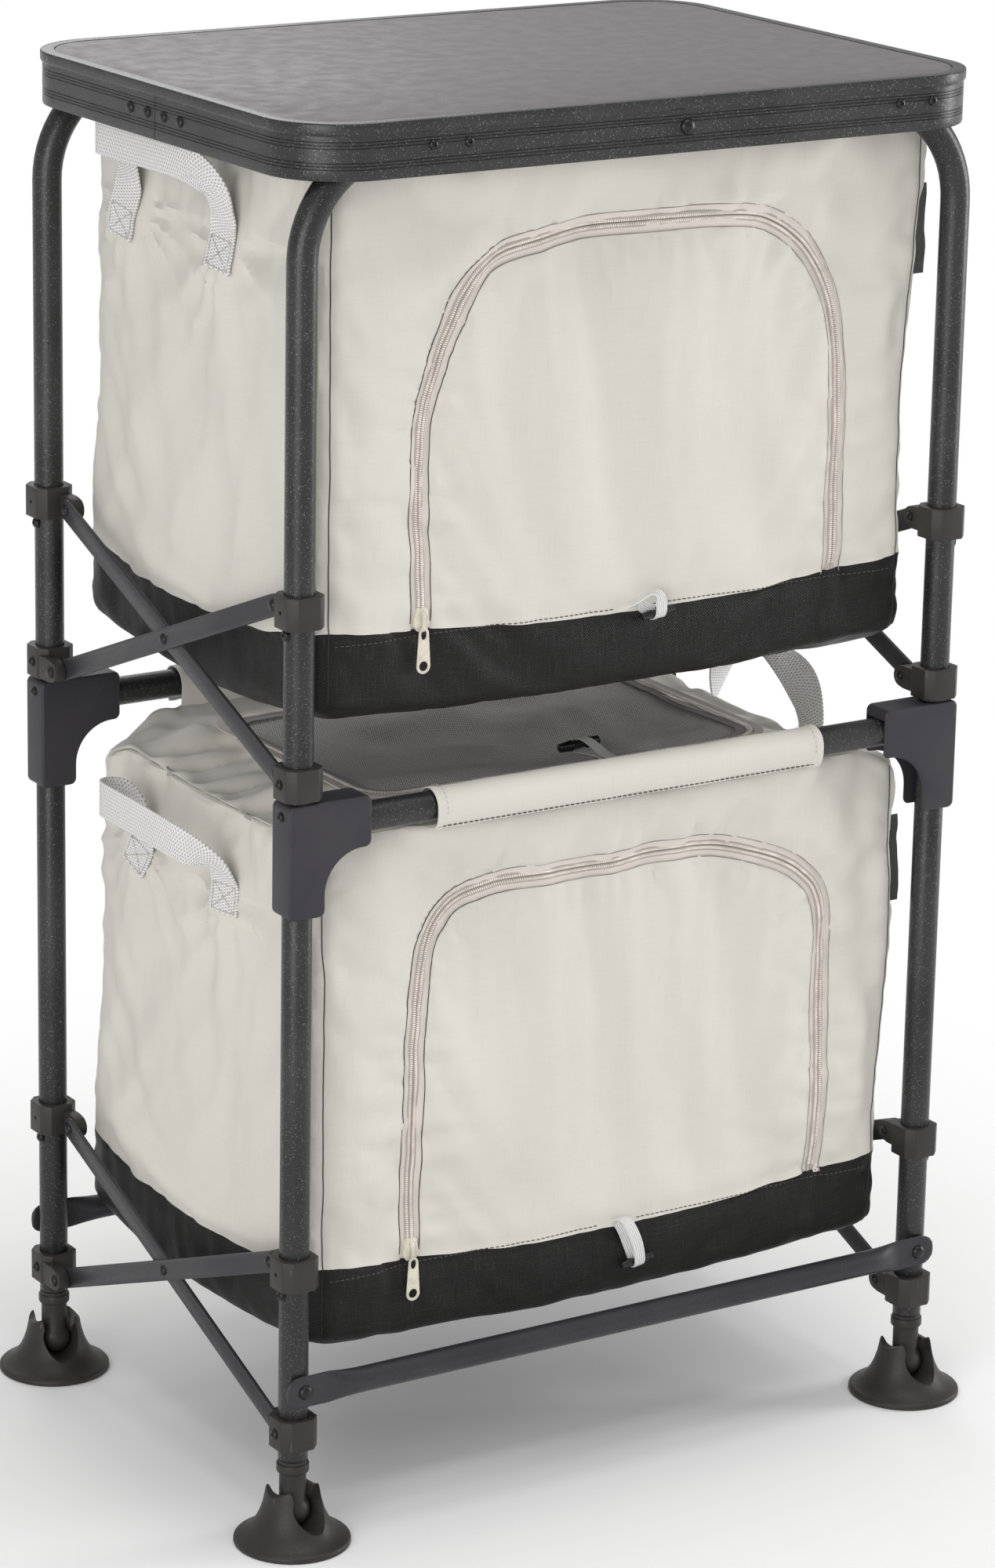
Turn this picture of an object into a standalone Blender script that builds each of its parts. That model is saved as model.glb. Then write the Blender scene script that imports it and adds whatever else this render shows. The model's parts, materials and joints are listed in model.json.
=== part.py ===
"""Folding camp kitchen cupboard: two fabric compartments in a scissor frame, under a lift-off table top.

The origin is on the floor under the middle of the table. X runs along the front, Y from front to back, Z up.
"""

import math

import bmesh
import bpy
from mathutils import Matrix, Vector

MM = 0.001

# Overall sizes
FRAME_WIDTH = 560 * MM
FRAME_DEPTH = 376 * MM
TABLE_HEIGHT = 1051.4 * MM
LEVEL_STEP = 495.5 * MM
GAP = 0.3 * MM
OVERRUN = 5 * MM
WELD = 0.001 * MM
SCREW_WELD = 0.01 * MM

# Tubes
TUBE_RADIUS = 11 * MM
TUBE_BEVEL_RESOLUTION = 5
BEND_RADIUS = 78 * MM
BEND_STEPS = 7
ROUND_SIDES = 20
SMALL_SIDES = 10

# Table top
TABLE_SIDE_MARGIN = 3 * MM
TABLE_FRONT_MARGIN = 16 * MM
TABLE_CORNER_RADIUS = 58 * MM
CORNER_STEPS = 6
BOARD_THICKNESS = 5 * MM
BOARD_FACE_DROP = 0.4 * MM
RIM_HEIGHT = 40.1 * MM
RIM_WALL = 1.6 * MM
RIM_TOP_FLANGE = 9 * MM
RIM_TOP_THICKNESS = 1.2 * MM
RIM_BEAD_HEIGHT = 8 * MM
RIM_BEAD_PROUD = 1.5 * MM
RIM_EDGE = 1 * MM
RIM_LEDGE = 9 * MM
RIM_FOOT = 3 * MM
CLIP_INSET = 94 * MM
CLIP_WIDTH = 20 * MM
CLIP_LIP = 3 * MM
CLIP_PAD = 3.6 * MM

# Scissors
FIXED_PIVOT_Z = 85.5 * MM
SCISSOR_RISE = 125 * MM
PIVOT_OFFSET = 29 * MM
BAR_WIDTH = 16 * MM
BAR_THICKNESS = 3 * MM
RISING_BAR_OUT = 2 * MM
RIVET_RADIUS = 2.5 * MM
RIVET_HEAD_RADIUS = 4.2 * MM
RIVET_HEAD_HEIGHT = 1.6 * MM
END_STEPS = 6

# Collars
COLLAR_SIDE_WALL = 4.5 * MM
COLLAR_FACE_WALL = 4 * MM
COLLAR_HEIGHT = 24 * MM
COLLAR_CHAMFER = 6.5 * MM
COLLAR_PIVOT_DROP = 2 * MM
LUG_RADIUS = 8 * MM
LUG_THICKNESS = 9.4 * MM
SCREW_HEAD_RADIUS = 3.6 * MM
SCREW_HEAD_HEIGHT = 2 * MM
STOP_HEAD_RADIUS = 4.4 * MM
STOP_HEAD_HEIGHT = 2.6 * MM

# Mid rails and their gussets
GUSSET_CLEARANCE = 2 * MM
GUSSET_HEIGHT = 85 * MM
GUSSET_ARM = 54 * MM
GUSSET_ARM_HEIGHT = 38 * MM
GUSSET_WALL = 2.5 * MM
GUSSET_ROOF = 8.5 * MM
GUSSET_SHANK_WALL = 5 * MM
GUSSET_BORE_GAP = 0.27 * MM
GUSSET_ARC_RADIUS = 32 * MM
GUSSET_CORNER_RADIUS = 5 * MM
GUSSET_SCREW_DROP = 15 * MM

# Lower stretchers
STRETCHER_Z = 122 * MM
STRETCHER_RADIUS = 9.5 * MM
STRETCHER_END_HALF_HEIGHT = 12.5 * MM
STRETCHER_END_THICKNESS = 3 * MM
STRETCHER_FLAT_LENGTH = 20 * MM
STRETCHER_SWAGE_LENGTH = 26 * MM
STRETCHER_SIDES = 12
STRETCHER_END_ANGLES = (12, 40, 65, 90)

# Ball feet
LEG_END_Z = 66 * MM
STEM_RING_PROUD = 1 * MM
STEM_RING_HEIGHT = 7 * MM
STEM_PLUG_HEIGHT = 3 * MM
NECK_RADIUS = 10 * MM
BALL_RADIUS = 13 * MM
BALL_Z = 25.5 * MM
BALL_STEPS = 6
STEM_STEPS = 12
CUP_STEPS = 20
CUP_RADIUS = 43.5 * MM
CUP_EDGE = 3.5 * MM
CUP_WALL = 5.5 * MM
CUP_TOP_Z = 45 * MM
CUP_SLOT_WIDTH = 25 * MM
CUP_SLOT_FLOOR_Z = 13.5 * MM
CUP_SPINS = {"front_left": -78, "front_right": -85, "back_left": -100, "back_right": -120}
CUP_FLARE_SHARES = ((1.0, 0.0), (0.80, 0.10), (0.55, 0.24), (0.32, 0.42), (0.14, 0.66), (0.04, 0.86))

# Fabric compartments
BAG_LEG_CLEARANCE = 28 * MM
BAG_HEIGHT = 414 * MM
BAG_WALL = 2.5 * MM
BAG_CORNER_RADIUS = 16 * MM
BAG_TOP_DROP = 13 * MM
PANEL_TUBE_CLEARANCE = 0.8 * MM
SLEEVE_INSET = 82 * MM
SLEEVE_WALL = 2 * MM
SHOULDER_INSET = 37 * MM
SHOULDER_DROP = 12 * MM
SIDE_SHOULDER_DROP = 45 * MM
BAND_HEIGHT = 60 * MM
DOOR_TOP_DROP = 68 * MM
DOOR_SIDE_MARGIN = 84 * MM
DOOR_CORNER_RADIUS = 85 * MM
DOOR_EDGE_GAP = 1.5 * MM
LID_SIDE_MARGIN = 74 * MM
LID_FRONT_MARGIN = 58 * MM
LID_THICKNESS = 2 * MM
LID_EDGE_GAP = 1.5 * MM
LID_HINGE_GAP = 0.5 * MM
HANDLE_CENTRE_Y = 15 * MM
HANDLE_HALF_SPAN = 70 * MM
HANDLE_BULGE = 42 * MM
HANDLE_DROP = 55 * MM
STRAP_WIDTH = 25 * MM
STRAP_THICKNESS = 1.8 * MM
HANDLE_STEPS = 12

# Zip sliders and their pulls
SLIDER_WIDTH = 12 * MM
SLIDER_HEIGHT = 12 * MM
SLIDER_DEPTH = 3.5 * MM
SLIDER_DOOR_GAP = 2 * MM
PULL_LENGTH = 31 * MM
PULL_END_RADIUS = 5.6 * MM
PULL_NECK_HALF_WIDTH = 4 * MM
PULL_THICKNESS = 1.2 * MM
PULL_HOLE_RADIUS = 3.4 * MM
PULL_HEAD = 0.8 * MM
PULL_GAP = 0.5 * MM

# Values that follow from the sizes above
LEG_X = FRAME_WIDTH / 2
LEG_Y = FRAME_DEPTH / 2
TABLE_HALF_WIDTH = LEG_X + TUBE_RADIUS + TABLE_SIDE_MARGIN
TABLE_HALF_DEPTH = LEG_Y + TUBE_RADIUS + TABLE_FRONT_MARGIN
CLIP_X = LEG_X - CLIP_INSET
COLLAR_HALF_WIDTH = TUBE_RADIUS + COLLAR_SIDE_WALL
COLLAR_HALF_DEPTH = TUBE_RADIUS + COLLAR_FACE_WALL
GUSSET_SHANK = TUBE_RADIUS + GUSSET_SHANK_WALL
STEM_RING_RADIUS = TUBE_RADIUS + STEM_RING_PROUD
PIVOT_Y = LEG_Y - PIVOT_OFFSET
BAR_SPAN = math.hypot(2 * PIVOT_Y, SCISSOR_RISE)
BAR_ANGLE = math.atan2(SCISSOR_RISE, 2 * PIVOT_Y)
FALLING_BAR_OUT = RISING_BAR_OUT - GAP - BAR_THICKNESS
BOARD_TOP_Z = TABLE_HEIGHT - RIM_TOP_THICKNESS - GAP
BOARD_UNDERSIDE_Z = BOARD_TOP_Z - BOARD_THICKNESS
TOP_RAIL_Z = BOARD_UNDERSIDE_Z - CLIP_PAD - TUBE_RADIUS
UPPER_PIVOT_Z = FIXED_PIVOT_Z + LEVEL_STEP
UPPER_COLLAR_Z = UPPER_PIVOT_Z + COLLAR_PIVOT_DROP
GUSSET_TOP_Z = UPPER_COLLAR_Z - COLLAR_HEIGHT / 2 - GUSSET_CLEARANCE
MID_RAIL_Z = GUSSET_TOP_Z - GUSSET_ROOF - TUBE_RADIUS
PANEL_OUTER_Y = LEG_Y - TUBE_RADIUS - PANEL_TUBE_CLEARANCE
PANEL_INNER_Y = PANEL_OUTER_Y - BAG_WALL
BAG_HALF_WIDTH = LEG_X - BAG_LEG_CLEARANCE
SLEEVE_HALF_LENGTH = BAG_HALF_WIDTH - SLEEVE_INSET
SHOULDER_X = BAG_HALF_WIDTH - SHOULDER_INSET
DOOR_HALF_WIDTH = BAG_HALF_WIDTH - DOOR_SIDE_MARGIN
LID_HALF_WIDTH = BAG_HALF_WIDTH - LID_SIDE_MARGIN
LID_HALF_DEPTH = PANEL_OUTER_Y - LID_FRONT_MARGIN
ZIP_X = DOOR_HALF_WIDTH + SLIDER_DOOR_GAP + SLIDER_WIDTH / 2
PIVOT_HEIGHTS = {"lower": FIXED_PIVOT_Z, "upper": UPPER_PIVOT_Z}
SIDES = {"left": -1, "right": 1}
ENDS = {"front": -1, "back": 1}


def clear_scene():
    for obj in list(bpy.data.objects):
        bpy.data.objects.remove(obj, do_unlink=True)


def make_collection(name):
    collection = bpy.data.collections.new(name)
    bpy.context.scene.collection.children.link(collection)
    return collection


def make_material(name, colour, roughness, metallic=0.0):
    material = bpy.data.materials.new(name)
    material.use_nodes = True
    surface = material.node_tree.nodes["Principled BSDF"]
    surface.inputs["Base Color"].default_value = (*colour, 1.0)
    surface.inputs["Roughness"].default_value = roughness
    surface.inputs["Metallic"].default_value = metallic
    return material


clear_scene()
PARTS = make_collection("camp_kitchen_cupboard")
HELPERS = make_collection("cutters")
POWDER_COAT = make_material("powder_coat", (0.045, 0.045, 0.048), 0.45, 0.6)
BAR_STEEL = make_material("bar_steel", (0.055, 0.053, 0.06), 0.5, 0.4)
COLLAR_PLASTIC = make_material("collar_plastic", (0.048, 0.045, 0.041), 0.5)
GUSSET_PLASTIC = make_material("gusset_plastic", (0.058, 0.055, 0.067), 0.55)
FOOT_PLASTIC = make_material("foot_plastic", (0.05, 0.047, 0.045), 0.4)
BOARD_FACE = make_material("board_face", (0.24, 0.22, 0.235), 0.6)
FABRIC = make_material("fabric", (0.72, 0.70, 0.64), 0.85)
MESH_CLOTH = make_material("mesh_cloth", (0.33, 0.32, 0.31), 0.9)
ZIP_METAL = make_material("zip_metal", (0.70, 0.66, 0.57), 0.4)


def add_mesh_object(name, mesh, material=None):
    """A part in the cupboard's collection, or, with no material, a helper that only cuts or joins."""
    obj = bpy.data.objects.new(name, mesh)
    if material:
        mesh.materials.clear()
        mesh.materials.append(material)
        mesh.shade_smooth()
        mesh.set_sharp_from_angle(angle=math.radians(35))
        PARTS.objects.link(obj)
    else:
        HELPERS.objects.link(obj)
        obj.hide_render = True
        obj.display_type = "WIRE"
    return obj


def mesh_from(bm, name):
    bm.normal_update()
    bmesh.ops.recalc_face_normals(bm, faces=bm.faces)
    mesh = bpy.data.meshes.new(name)
    bm.to_mesh(mesh)
    bm.free()
    return mesh


def block(name, low, high, material=None):
    """A box from its low corner to its high corner."""
    bm = bmesh.new()
    bmesh.ops.create_cube(bm, size=1.0)
    low, high = Vector(low), Vector(high)
    for vert in bm.verts:
        vert.co = Vector(a + (b - a) * (c + 0.5) for a, b, c in zip(low, high, vert.co))
    return add_mesh_object(name, mesh_from(bm, name), material)


def rod(name, start, end, radius, sides=ROUND_SIDES, end_radius=None, material=None):
    """A cylinder from start to end, or a cone where end_radius differs."""
    start, end = Vector(start), Vector(end)
    bm = bmesh.new()
    bmesh.ops.create_cone(
        bm,
        cap_ends=True,
        segments=sides,
        radius1=radius,
        radius2=radius if end_radius is None else end_radius,
        depth=(end - start).length,
    )
    turn = (end - start).to_track_quat("Z", "Y").to_matrix().to_4x4()
    bm.transform(Matrix.Translation((start + end) / 2) @ turn)
    return add_mesh_object(name, mesh_from(bm, name), material)


def mesh_of_curve(curve, name, matrix):
    """The curve's evaluated surface, with its caps welded on."""
    obj = bpy.data.objects.new(name, curve)
    bpy.context.scene.collection.objects.link(obj)
    bpy.context.view_layer.update()
    graph = bpy.context.evaluated_depsgraph_get()
    mesh = bpy.data.meshes.new_from_object(obj.evaluated_get(graph))
    bpy.data.objects.remove(obj, do_unlink=True)
    bm = bmesh.new()
    bm.from_mesh(mesh)
    bmesh.ops.remove_doubles(bm, verts=bm.verts, dist=WELD)
    bm.transform(matrix)
    bpy.data.meshes.remove(mesh)
    return mesh_from(bm, name)


def plate(name, outline, low, high, normal, material=None, holes=()):
    """A flat outline extruded from low to high along one world axis.

    The outline's two coordinates are the world's other two axes, in X, Y, Z order.
    """
    curve = bpy.data.curves.new(name, "CURVE")
    curve.dimensions = "2D"
    curve.fill_mode = "BOTH"
    curve.extrude = (high - low) / 2
    for points in (outline, *holes):
        spline = curve.splines.new("POLY")
        spline.points.add(len(points) - 1)
        for point, (a, b) in zip(spline.points, points):
            point.co = (a, b, 0, 1)
        spline.use_cyclic_u = True
    turns = {
        "X": Matrix(((0, 0, 1, 0), (1, 0, 0, 0), (0, 1, 0, 0), (0, 0, 0, 1))),
        "Y": Matrix(((1, 0, 0, 0), (0, 0, 1, 0), (0, 1, 0, 0), (0, 0, 0, 1))),
        "Z": Matrix.Identity(4),
    }
    along = Vector([float(axis == normal) for axis in "XYZ"]) * (low + high) / 2
    mesh = mesh_of_curve(curve, name, Matrix.Translation(along) @ turns[normal])
    return add_mesh_object(name, mesh, material)


def tube(name, points, radius, material):
    curve = bpy.data.curves.new(name, "CURVE")
    curve.dimensions = "3D"
    curve.bevel_depth = radius
    curve.bevel_resolution = TUBE_BEVEL_RESOLUTION
    curve.use_fill_caps = True
    spline = curve.splines.new("POLY")
    spline.points.add(len(points) - 1)
    for point, place in zip(spline.points, points):
        point.co = (*place, 1)
    return add_mesh_object(name, mesh_of_curve(curve, name, Matrix.Identity(4)), material)


def turned(name, profile, steps, centre, material, spin=0.0):
    """A profile of (radius, height) points turned about the vertical line through centre."""
    mesh = bpy.data.meshes.new(name)
    points = [(radius, 0, height) for radius, height in profile]
    mesh.from_pydata(points, [(i, i + 1) for i in range(len(points) - 1)], [])
    obj = add_mesh_object(name, mesh, material)
    obj.location = centre
    obj.rotation_euler.z = spin
    screw = obj.modifiers.new("turn", "SCREW")
    screw.axis = "Z"
    screw.steps = screw.render_steps = steps
    screw.use_merge_vertices = True
    screw.merge_threshold = SCREW_WELD
    screw.use_smooth_shade = True
    return obj


def loft(name, sections, material):
    """A closed skin over rings of equally many points."""
    bm = bmesh.new()
    rings = [[bm.verts.new(point) for point in section] for section in sections]
    count = len(rings[0])
    for first, second in zip(rings, rings[1:]):
        for i in range(count):
            j = (i + 1) % count
            bm.faces.new((first[i], first[j], second[j], second[i]))
    bm.faces.new(reversed(rings[0]))
    bm.faces.new(rings[-1])
    return add_mesh_object(name, mesh_from(bm, name), material)


def boolean(target, operation, others):
    for other in others:
        modifier = target.modifiers.new(other.name, "BOOLEAN")
        modifier.operation = operation
        modifier.solver = "EXACT"
        modifier.object = other


def cut(target, *others):
    boolean(target, "DIFFERENCE", others)


def fuse(target, *others):
    boolean(target, "UNION", others)


def set_origin(obj, place):
    """Moves the object's origin to its joint's axis and leaves its shape where it is."""
    obj.data.transform(Matrix.Translation(-Vector(place)))
    obj.location = place


def arc(centre, radius, start, end, steps):
    """Points on a circle's arc, with its angles in degrees from the first axis to the second."""
    angles = [math.radians(start + (end - start) * i / steps) for i in range(steps + 1)]
    return [(centre[0] + radius * math.cos(a), centre[1] + radius * math.sin(a)) for a in angles]


def rounded_rectangle(half_width, half_depth, radius, steps):
    x, y = half_width - radius, half_depth - radius
    corners = (((x, y), 0), ((-x, y), 90), ((-x, -y), 180), ((x, -y), 270))
    return [p for centre, turn in corners for p in arc(centre, radius, turn, turn + 90, steps)]


def corner_name(end, side):
    return f"{end}_{side}"


# Upper frames, mid rails, lower legs and stretchers


def stop_screw(name, side, end, collar_z):
    """The screw head in the leg's outer side that the sliding collar rests on."""
    x, y = SIDES[side] * LEG_X, ENDS[end] * LEG_Y
    z = collar_z - COLLAR_HEIGHT / 2 - GAP - STOP_HEAD_RADIUS
    inner = x + SIDES[side] * (TUBE_RADIUS - SCREW_HEAD_HEIGHT)
    outer = x + SIDES[side] * (TUBE_RADIUS + STOP_HEAD_HEIGHT)
    return rod(name, (inner, y, z), (outer, y, z), STOP_HEAD_RADIUS, SMALL_SIDES)


def make_upper_frame(end):
    """Two upper legs and the top rail, bent from one tube into an inverted U."""
    y = ENDS[end] * LEG_Y
    bend_z, bend_x = TOP_RAIL_Z - BEND_RADIUS, LEG_X - BEND_RADIUS
    left = [(x, y, z) for x, z in arc((-bend_x, bend_z), BEND_RADIUS, 180, 90, BEND_STEPS)]
    right = [(-x, y, z) for x, y, z in reversed(left)]
    foot_z = MID_RAIL_Z + GAP / 2
    points = [(-LEG_X, y, foot_z), *left, *right, (LEG_X, y, foot_z)]
    frame = tube(f"{end}_upper_frame", points, TUBE_RADIUS, POWDER_COAT)
    collar_z = UPPER_COLLAR_Z + SCISSOR_RISE
    for side in SIDES:
        fuse(frame, stop_screw(f"{end}_{side}_upper_stop", side, end, collar_z))


def make_mid_rail(end):
    y = ENDS[end] * LEG_Y
    x = LEG_X - TUBE_RADIUS - GAP
    ends = (-x, y, MID_RAIL_Z), (x, y, MID_RAIL_Z)
    rod(f"{end}_mid_rail", *ends, TUBE_RADIUS, ROUND_SIDES, material=POWDER_COAT)


def make_lower_leg(end, side):
    x, y = SIDES[side] * LEG_X, ENDS[end] * LEG_Y
    ends = (x, y, LEG_END_Z), (x, y, MID_RAIL_Z - GAP / 2)
    leg = rod(f"{end}_{side}_lower_leg", *ends, TUBE_RADIUS, ROUND_SIDES, material=POWDER_COAT)
    collar_z = FIXED_PIVOT_Z + COLLAR_PIVOT_DROP + SCISSOR_RISE
    fuse(leg, stop_screw(f"{end}_{side}_lower_stop", side, end, collar_z))


def make_gusset(end, side):
    """A moulded shell over the joint of leg and mid rail, open below and on its inner side."""
    sign, y = SIDES[side], ENDS[end] * LEG_Y
    outer = TUBE_RADIUS + GAP + GUSSET_WALL
    half_depth = TUBE_RADIUS + GUSSET_WALL - GAP
    top, foot = GUSSET_TOP_Z, GUSSET_TOP_Z - GUSSET_HEIGHT
    arm_foot = top - GUSSET_ARM_HEIGHT
    radius = GUSSET_CORNER_RADIUS
    outline = [
        *arc((-outer + radius, top - radius), radius, 180, 90, 4),
        *arc((GUSSET_ARM - radius, top - radius), radius, 90, 0, 4),
        *arc((GUSSET_ARM - radius, arm_foot + radius), radius, 0, -70, 4),
        *arc((GUSSET_SHANK + GUSSET_ARC_RADIUS, arm_foot - GUSSET_ARC_RADIUS), GUSSET_ARC_RADIUS, 95, 180, 8),
        *arc((GUSSET_SHANK - radius, foot + radius), radius, 0, -90, 4),
        *arc((-outer + radius, foot + radius), radius, -90, -180, 4),
    ]
    placed = [(sign * (LEG_X - offset), z) for offset, z in outline]
    name = f"{end}_{side}_gusset"
    gusset = plate(name, placed, y - half_depth, y + half_depth, "Y", GUSSET_PLASTIC)
    channel_half = TUBE_RADIUS + GAP
    channel_top = MID_RAIL_Z + TUBE_RADIUS + GAP
    xs = sorted(sign * (LEG_X - offset) for offset in (-channel_half - GAP, GUSSET_ARM + OVERRUN))
    channel = block(
        name + "_channel",
        (xs[0], y - channel_half, foot - OVERRUN),
        (xs[1], y + channel_half, channel_top),
    )
    leg = (sign * LEG_X, y)
    bore_ends = (*leg, channel_top - OVERRUN), (*leg, top + OVERRUN)
    bore = rod(name + "_bore", *bore_ends, TUBE_RADIUS + GUSSET_BORE_GAP)
    cut(gusset, channel, bore)
    screw_z = top - GUSSET_SCREW_DROP
    face = sign * (LEG_X + outer)
    screw = rod(
        name + "_screw",
        (face - sign * GUSSET_WALL / 2, y, screw_z),
        (face + sign * SCREW_HEAD_HEIGHT, y, screw_z),
        SCREW_HEAD_RADIUS,
        SMALL_SIDES,
    )
    fuse(gusset, screw)


def make_stretcher(end):
    """A tube along the front or back, pressed flat at its ends and riveted to the legs' outer faces."""
    sign = ENDS[end]
    flat_half = STRETCHER_END_THICKNESS / 2
    y = sign * (LEG_Y + TUBE_RADIUS + GAP + flat_half)
    rounding = [math.radians(angle) for angle in STRETCHER_END_ANGLES]
    halves = [
        (LEG_X + STRETCHER_END_HALF_HEIGHT * math.cos(a), STRETCHER_END_HALF_HEIGHT * math.sin(a), flat_half)
        for a in rounding
    ]
    flat_end = LEG_X - STRETCHER_FLAT_LENGTH
    halves.append((flat_end, STRETCHER_END_HALF_HEIGHT, flat_half))
    middle = (STRETCHER_END_HALF_HEIGHT + STRETCHER_RADIUS) / 2, (flat_half + STRETCHER_RADIUS) / 2
    halves.append((flat_end - STRETCHER_SWAGE_LENGTH / 2, *middle))
    halves.append((flat_end - STRETCHER_SWAGE_LENGTH, STRETCHER_RADIUS, STRETCHER_RADIUS))
    stations = [(-x, a, b) for x, a, b in halves] + [(x, a, b) for x, a, b in reversed(halves)]
    turns = [2 * math.pi * i / STRETCHER_SIDES for i in range(STRETCHER_SIDES)]
    sections = [
        [(x, y + b * math.cos(turn), STRETCHER_Z + a * math.sin(turn)) for turn in turns]
        for x, a, b in stations
    ]
    stretcher = loft(f"{end}_stretcher", sections, POWDER_COAT)
    for side in SIDES:
        x = SIDES[side] * LEG_X
        inner, outer = y, y + sign * (flat_half + RIVET_HEAD_HEIGHT)
        head = rod(
            f"{end}_{side}_stretcher_rivet",
            (x, inner, STRETCHER_Z),
            (x, outer, STRETCHER_Z),
            RIVET_HEAD_RADIUS,
            SMALL_SIDES,
            end_radius=RIVET_HEAD_RADIUS - RIVET_HEAD_HEIGHT,
        )
        fuse(stretcher, head)


# Collars and scissor bars


def out_x(side, out):
    """World X of a plane that lies out from the leg's axis, away from the cupboard."""
    return SIDES[side] * (LEG_X + out)


def lug_span(end, kind):
    """Where a collar's lug lies, out from the leg's axis: beside the bar that it carries."""
    rising = (kind == "fixed") == (end == "back")
    if rising and kind == "fixed":
        inner = RISING_BAR_OUT + BAR_THICKNESS + GAP
        return inner, inner + LUG_THICKNESS
    outer = (RISING_BAR_OUT if rising else FALLING_BAR_OUT) - GAP
    return outer - LUG_THICKNESS, outer


def make_collar(level, end, side, kind):
    """An eight-sided collar on a leg, with a lug on its inner side that carries a scissor bar."""
    x, sign = SIDES[side] * LEG_X, ENDS[end]
    y = sign * LEG_Y
    pivot_z = PIVOT_HEIGHTS[level] + (SCISSOR_RISE if kind == "sliding" else 0)
    z = pivot_z + COLLAR_PIVOT_DROP
    half_x, half_y, c = COLLAR_HALF_WIDTH, COLLAR_HALF_DEPTH, COLLAR_CHAMFER
    octagon = [
        (half_x, half_y - c), (half_x - c, half_y), (c - half_x, half_y), (-half_x, half_y - c),
        (-half_x, c - half_y), (c - half_x, -half_y), (half_x - c, -half_y), (half_x, c - half_y),
    ]
    name = f"{end}_{side}_{level}_{kind}_collar"
    outline = [(x + a, y + b) for a, b in octagon]
    collar = plate(name, outline, z - COLLAR_HEIGHT / 2, z + COLLAR_HEIGHT / 2, "Z", COLLAR_PLASTIC)
    low, high = sorted(out_x(side, out) for out in lug_span(end, kind))
    pivot_y = sign * PIVOT_Y
    start = 90 if sign > 0 else -90
    lug_outline = [
        *arc((pivot_y, pivot_z), LUG_RADIUS, start, start + 180, END_STEPS),
        (y, pivot_z - sign * LUG_RADIUS),
        (y, pivot_z + sign * LUG_RADIUS),
    ]
    fuse(collar, plate(name + "_lug", lug_outline, low, high, "X"))
    half = COLLAR_HEIGHT / 2 + OVERRUN
    leg_bore = rod(name + "_leg_bore", (x, y, z - half), (x, y, z + half), TUBE_RADIUS + GAP)
    rivet_bore = rod(
        name + "_rivet_bore",
        (low - OVERRUN, pivot_y, pivot_z),
        (high + OVERRUN, pivot_y, pivot_z),
        RIVET_RADIUS + GAP,
        SMALL_SIDES,
    )
    cut(collar, leg_bore, rivet_bore)
    if kind == "fixed":
        face = out_x(side, half_x)
        screw = rod(
            name + "_screw",
            (face - SIDES[side] * SCREW_HEAD_HEIGHT / 2, y, z),
            (face + SIDES[side] * SCREW_HEAD_HEIGHT, y, z),
            SCREW_HEAD_RADIUS,
            SMALL_SIDES,
        )
        fuse(collar, screw)
    set_origin(collar, (x, pivot_y, pivot_z))


def rivet(name, side, y, z, head_out, tail_out, tail_head=False):
    """A domed rivet: its head stands on head_out and its shank ends at tail_out, out from the leg's axis."""
    way = 1 if head_out > tail_out else -1
    head_base, head_top = head_out - way * BAR_THICKNESS / 2, head_out + way * RIVET_HEAD_HEIGHT
    tail_top = tail_out - way * RIVET_HEAD_HEIGHT if tail_head else tail_out
    dome_radius = RIVET_HEAD_RADIUS - RIVET_HEAD_HEIGHT / 2

    def piece(part, start, end, radius, end_radius=None):
        points = (out_x(side, start), y, z), (out_x(side, end), y, z)
        return rod(f"{name}_{part}", *points, radius, SMALL_SIDES, end_radius)

    pieces = [
        piece("shank", head_base, tail_top, RIVET_RADIUS),
        piece("head", head_base, head_top, RIVET_HEAD_RADIUS, dome_radius),
    ]
    if tail_head:
        pieces.append(piece("tail", tail_out, tail_top - way * GAP, RIVET_HEAD_RADIUS, dome_radius))
    return pieces


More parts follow.
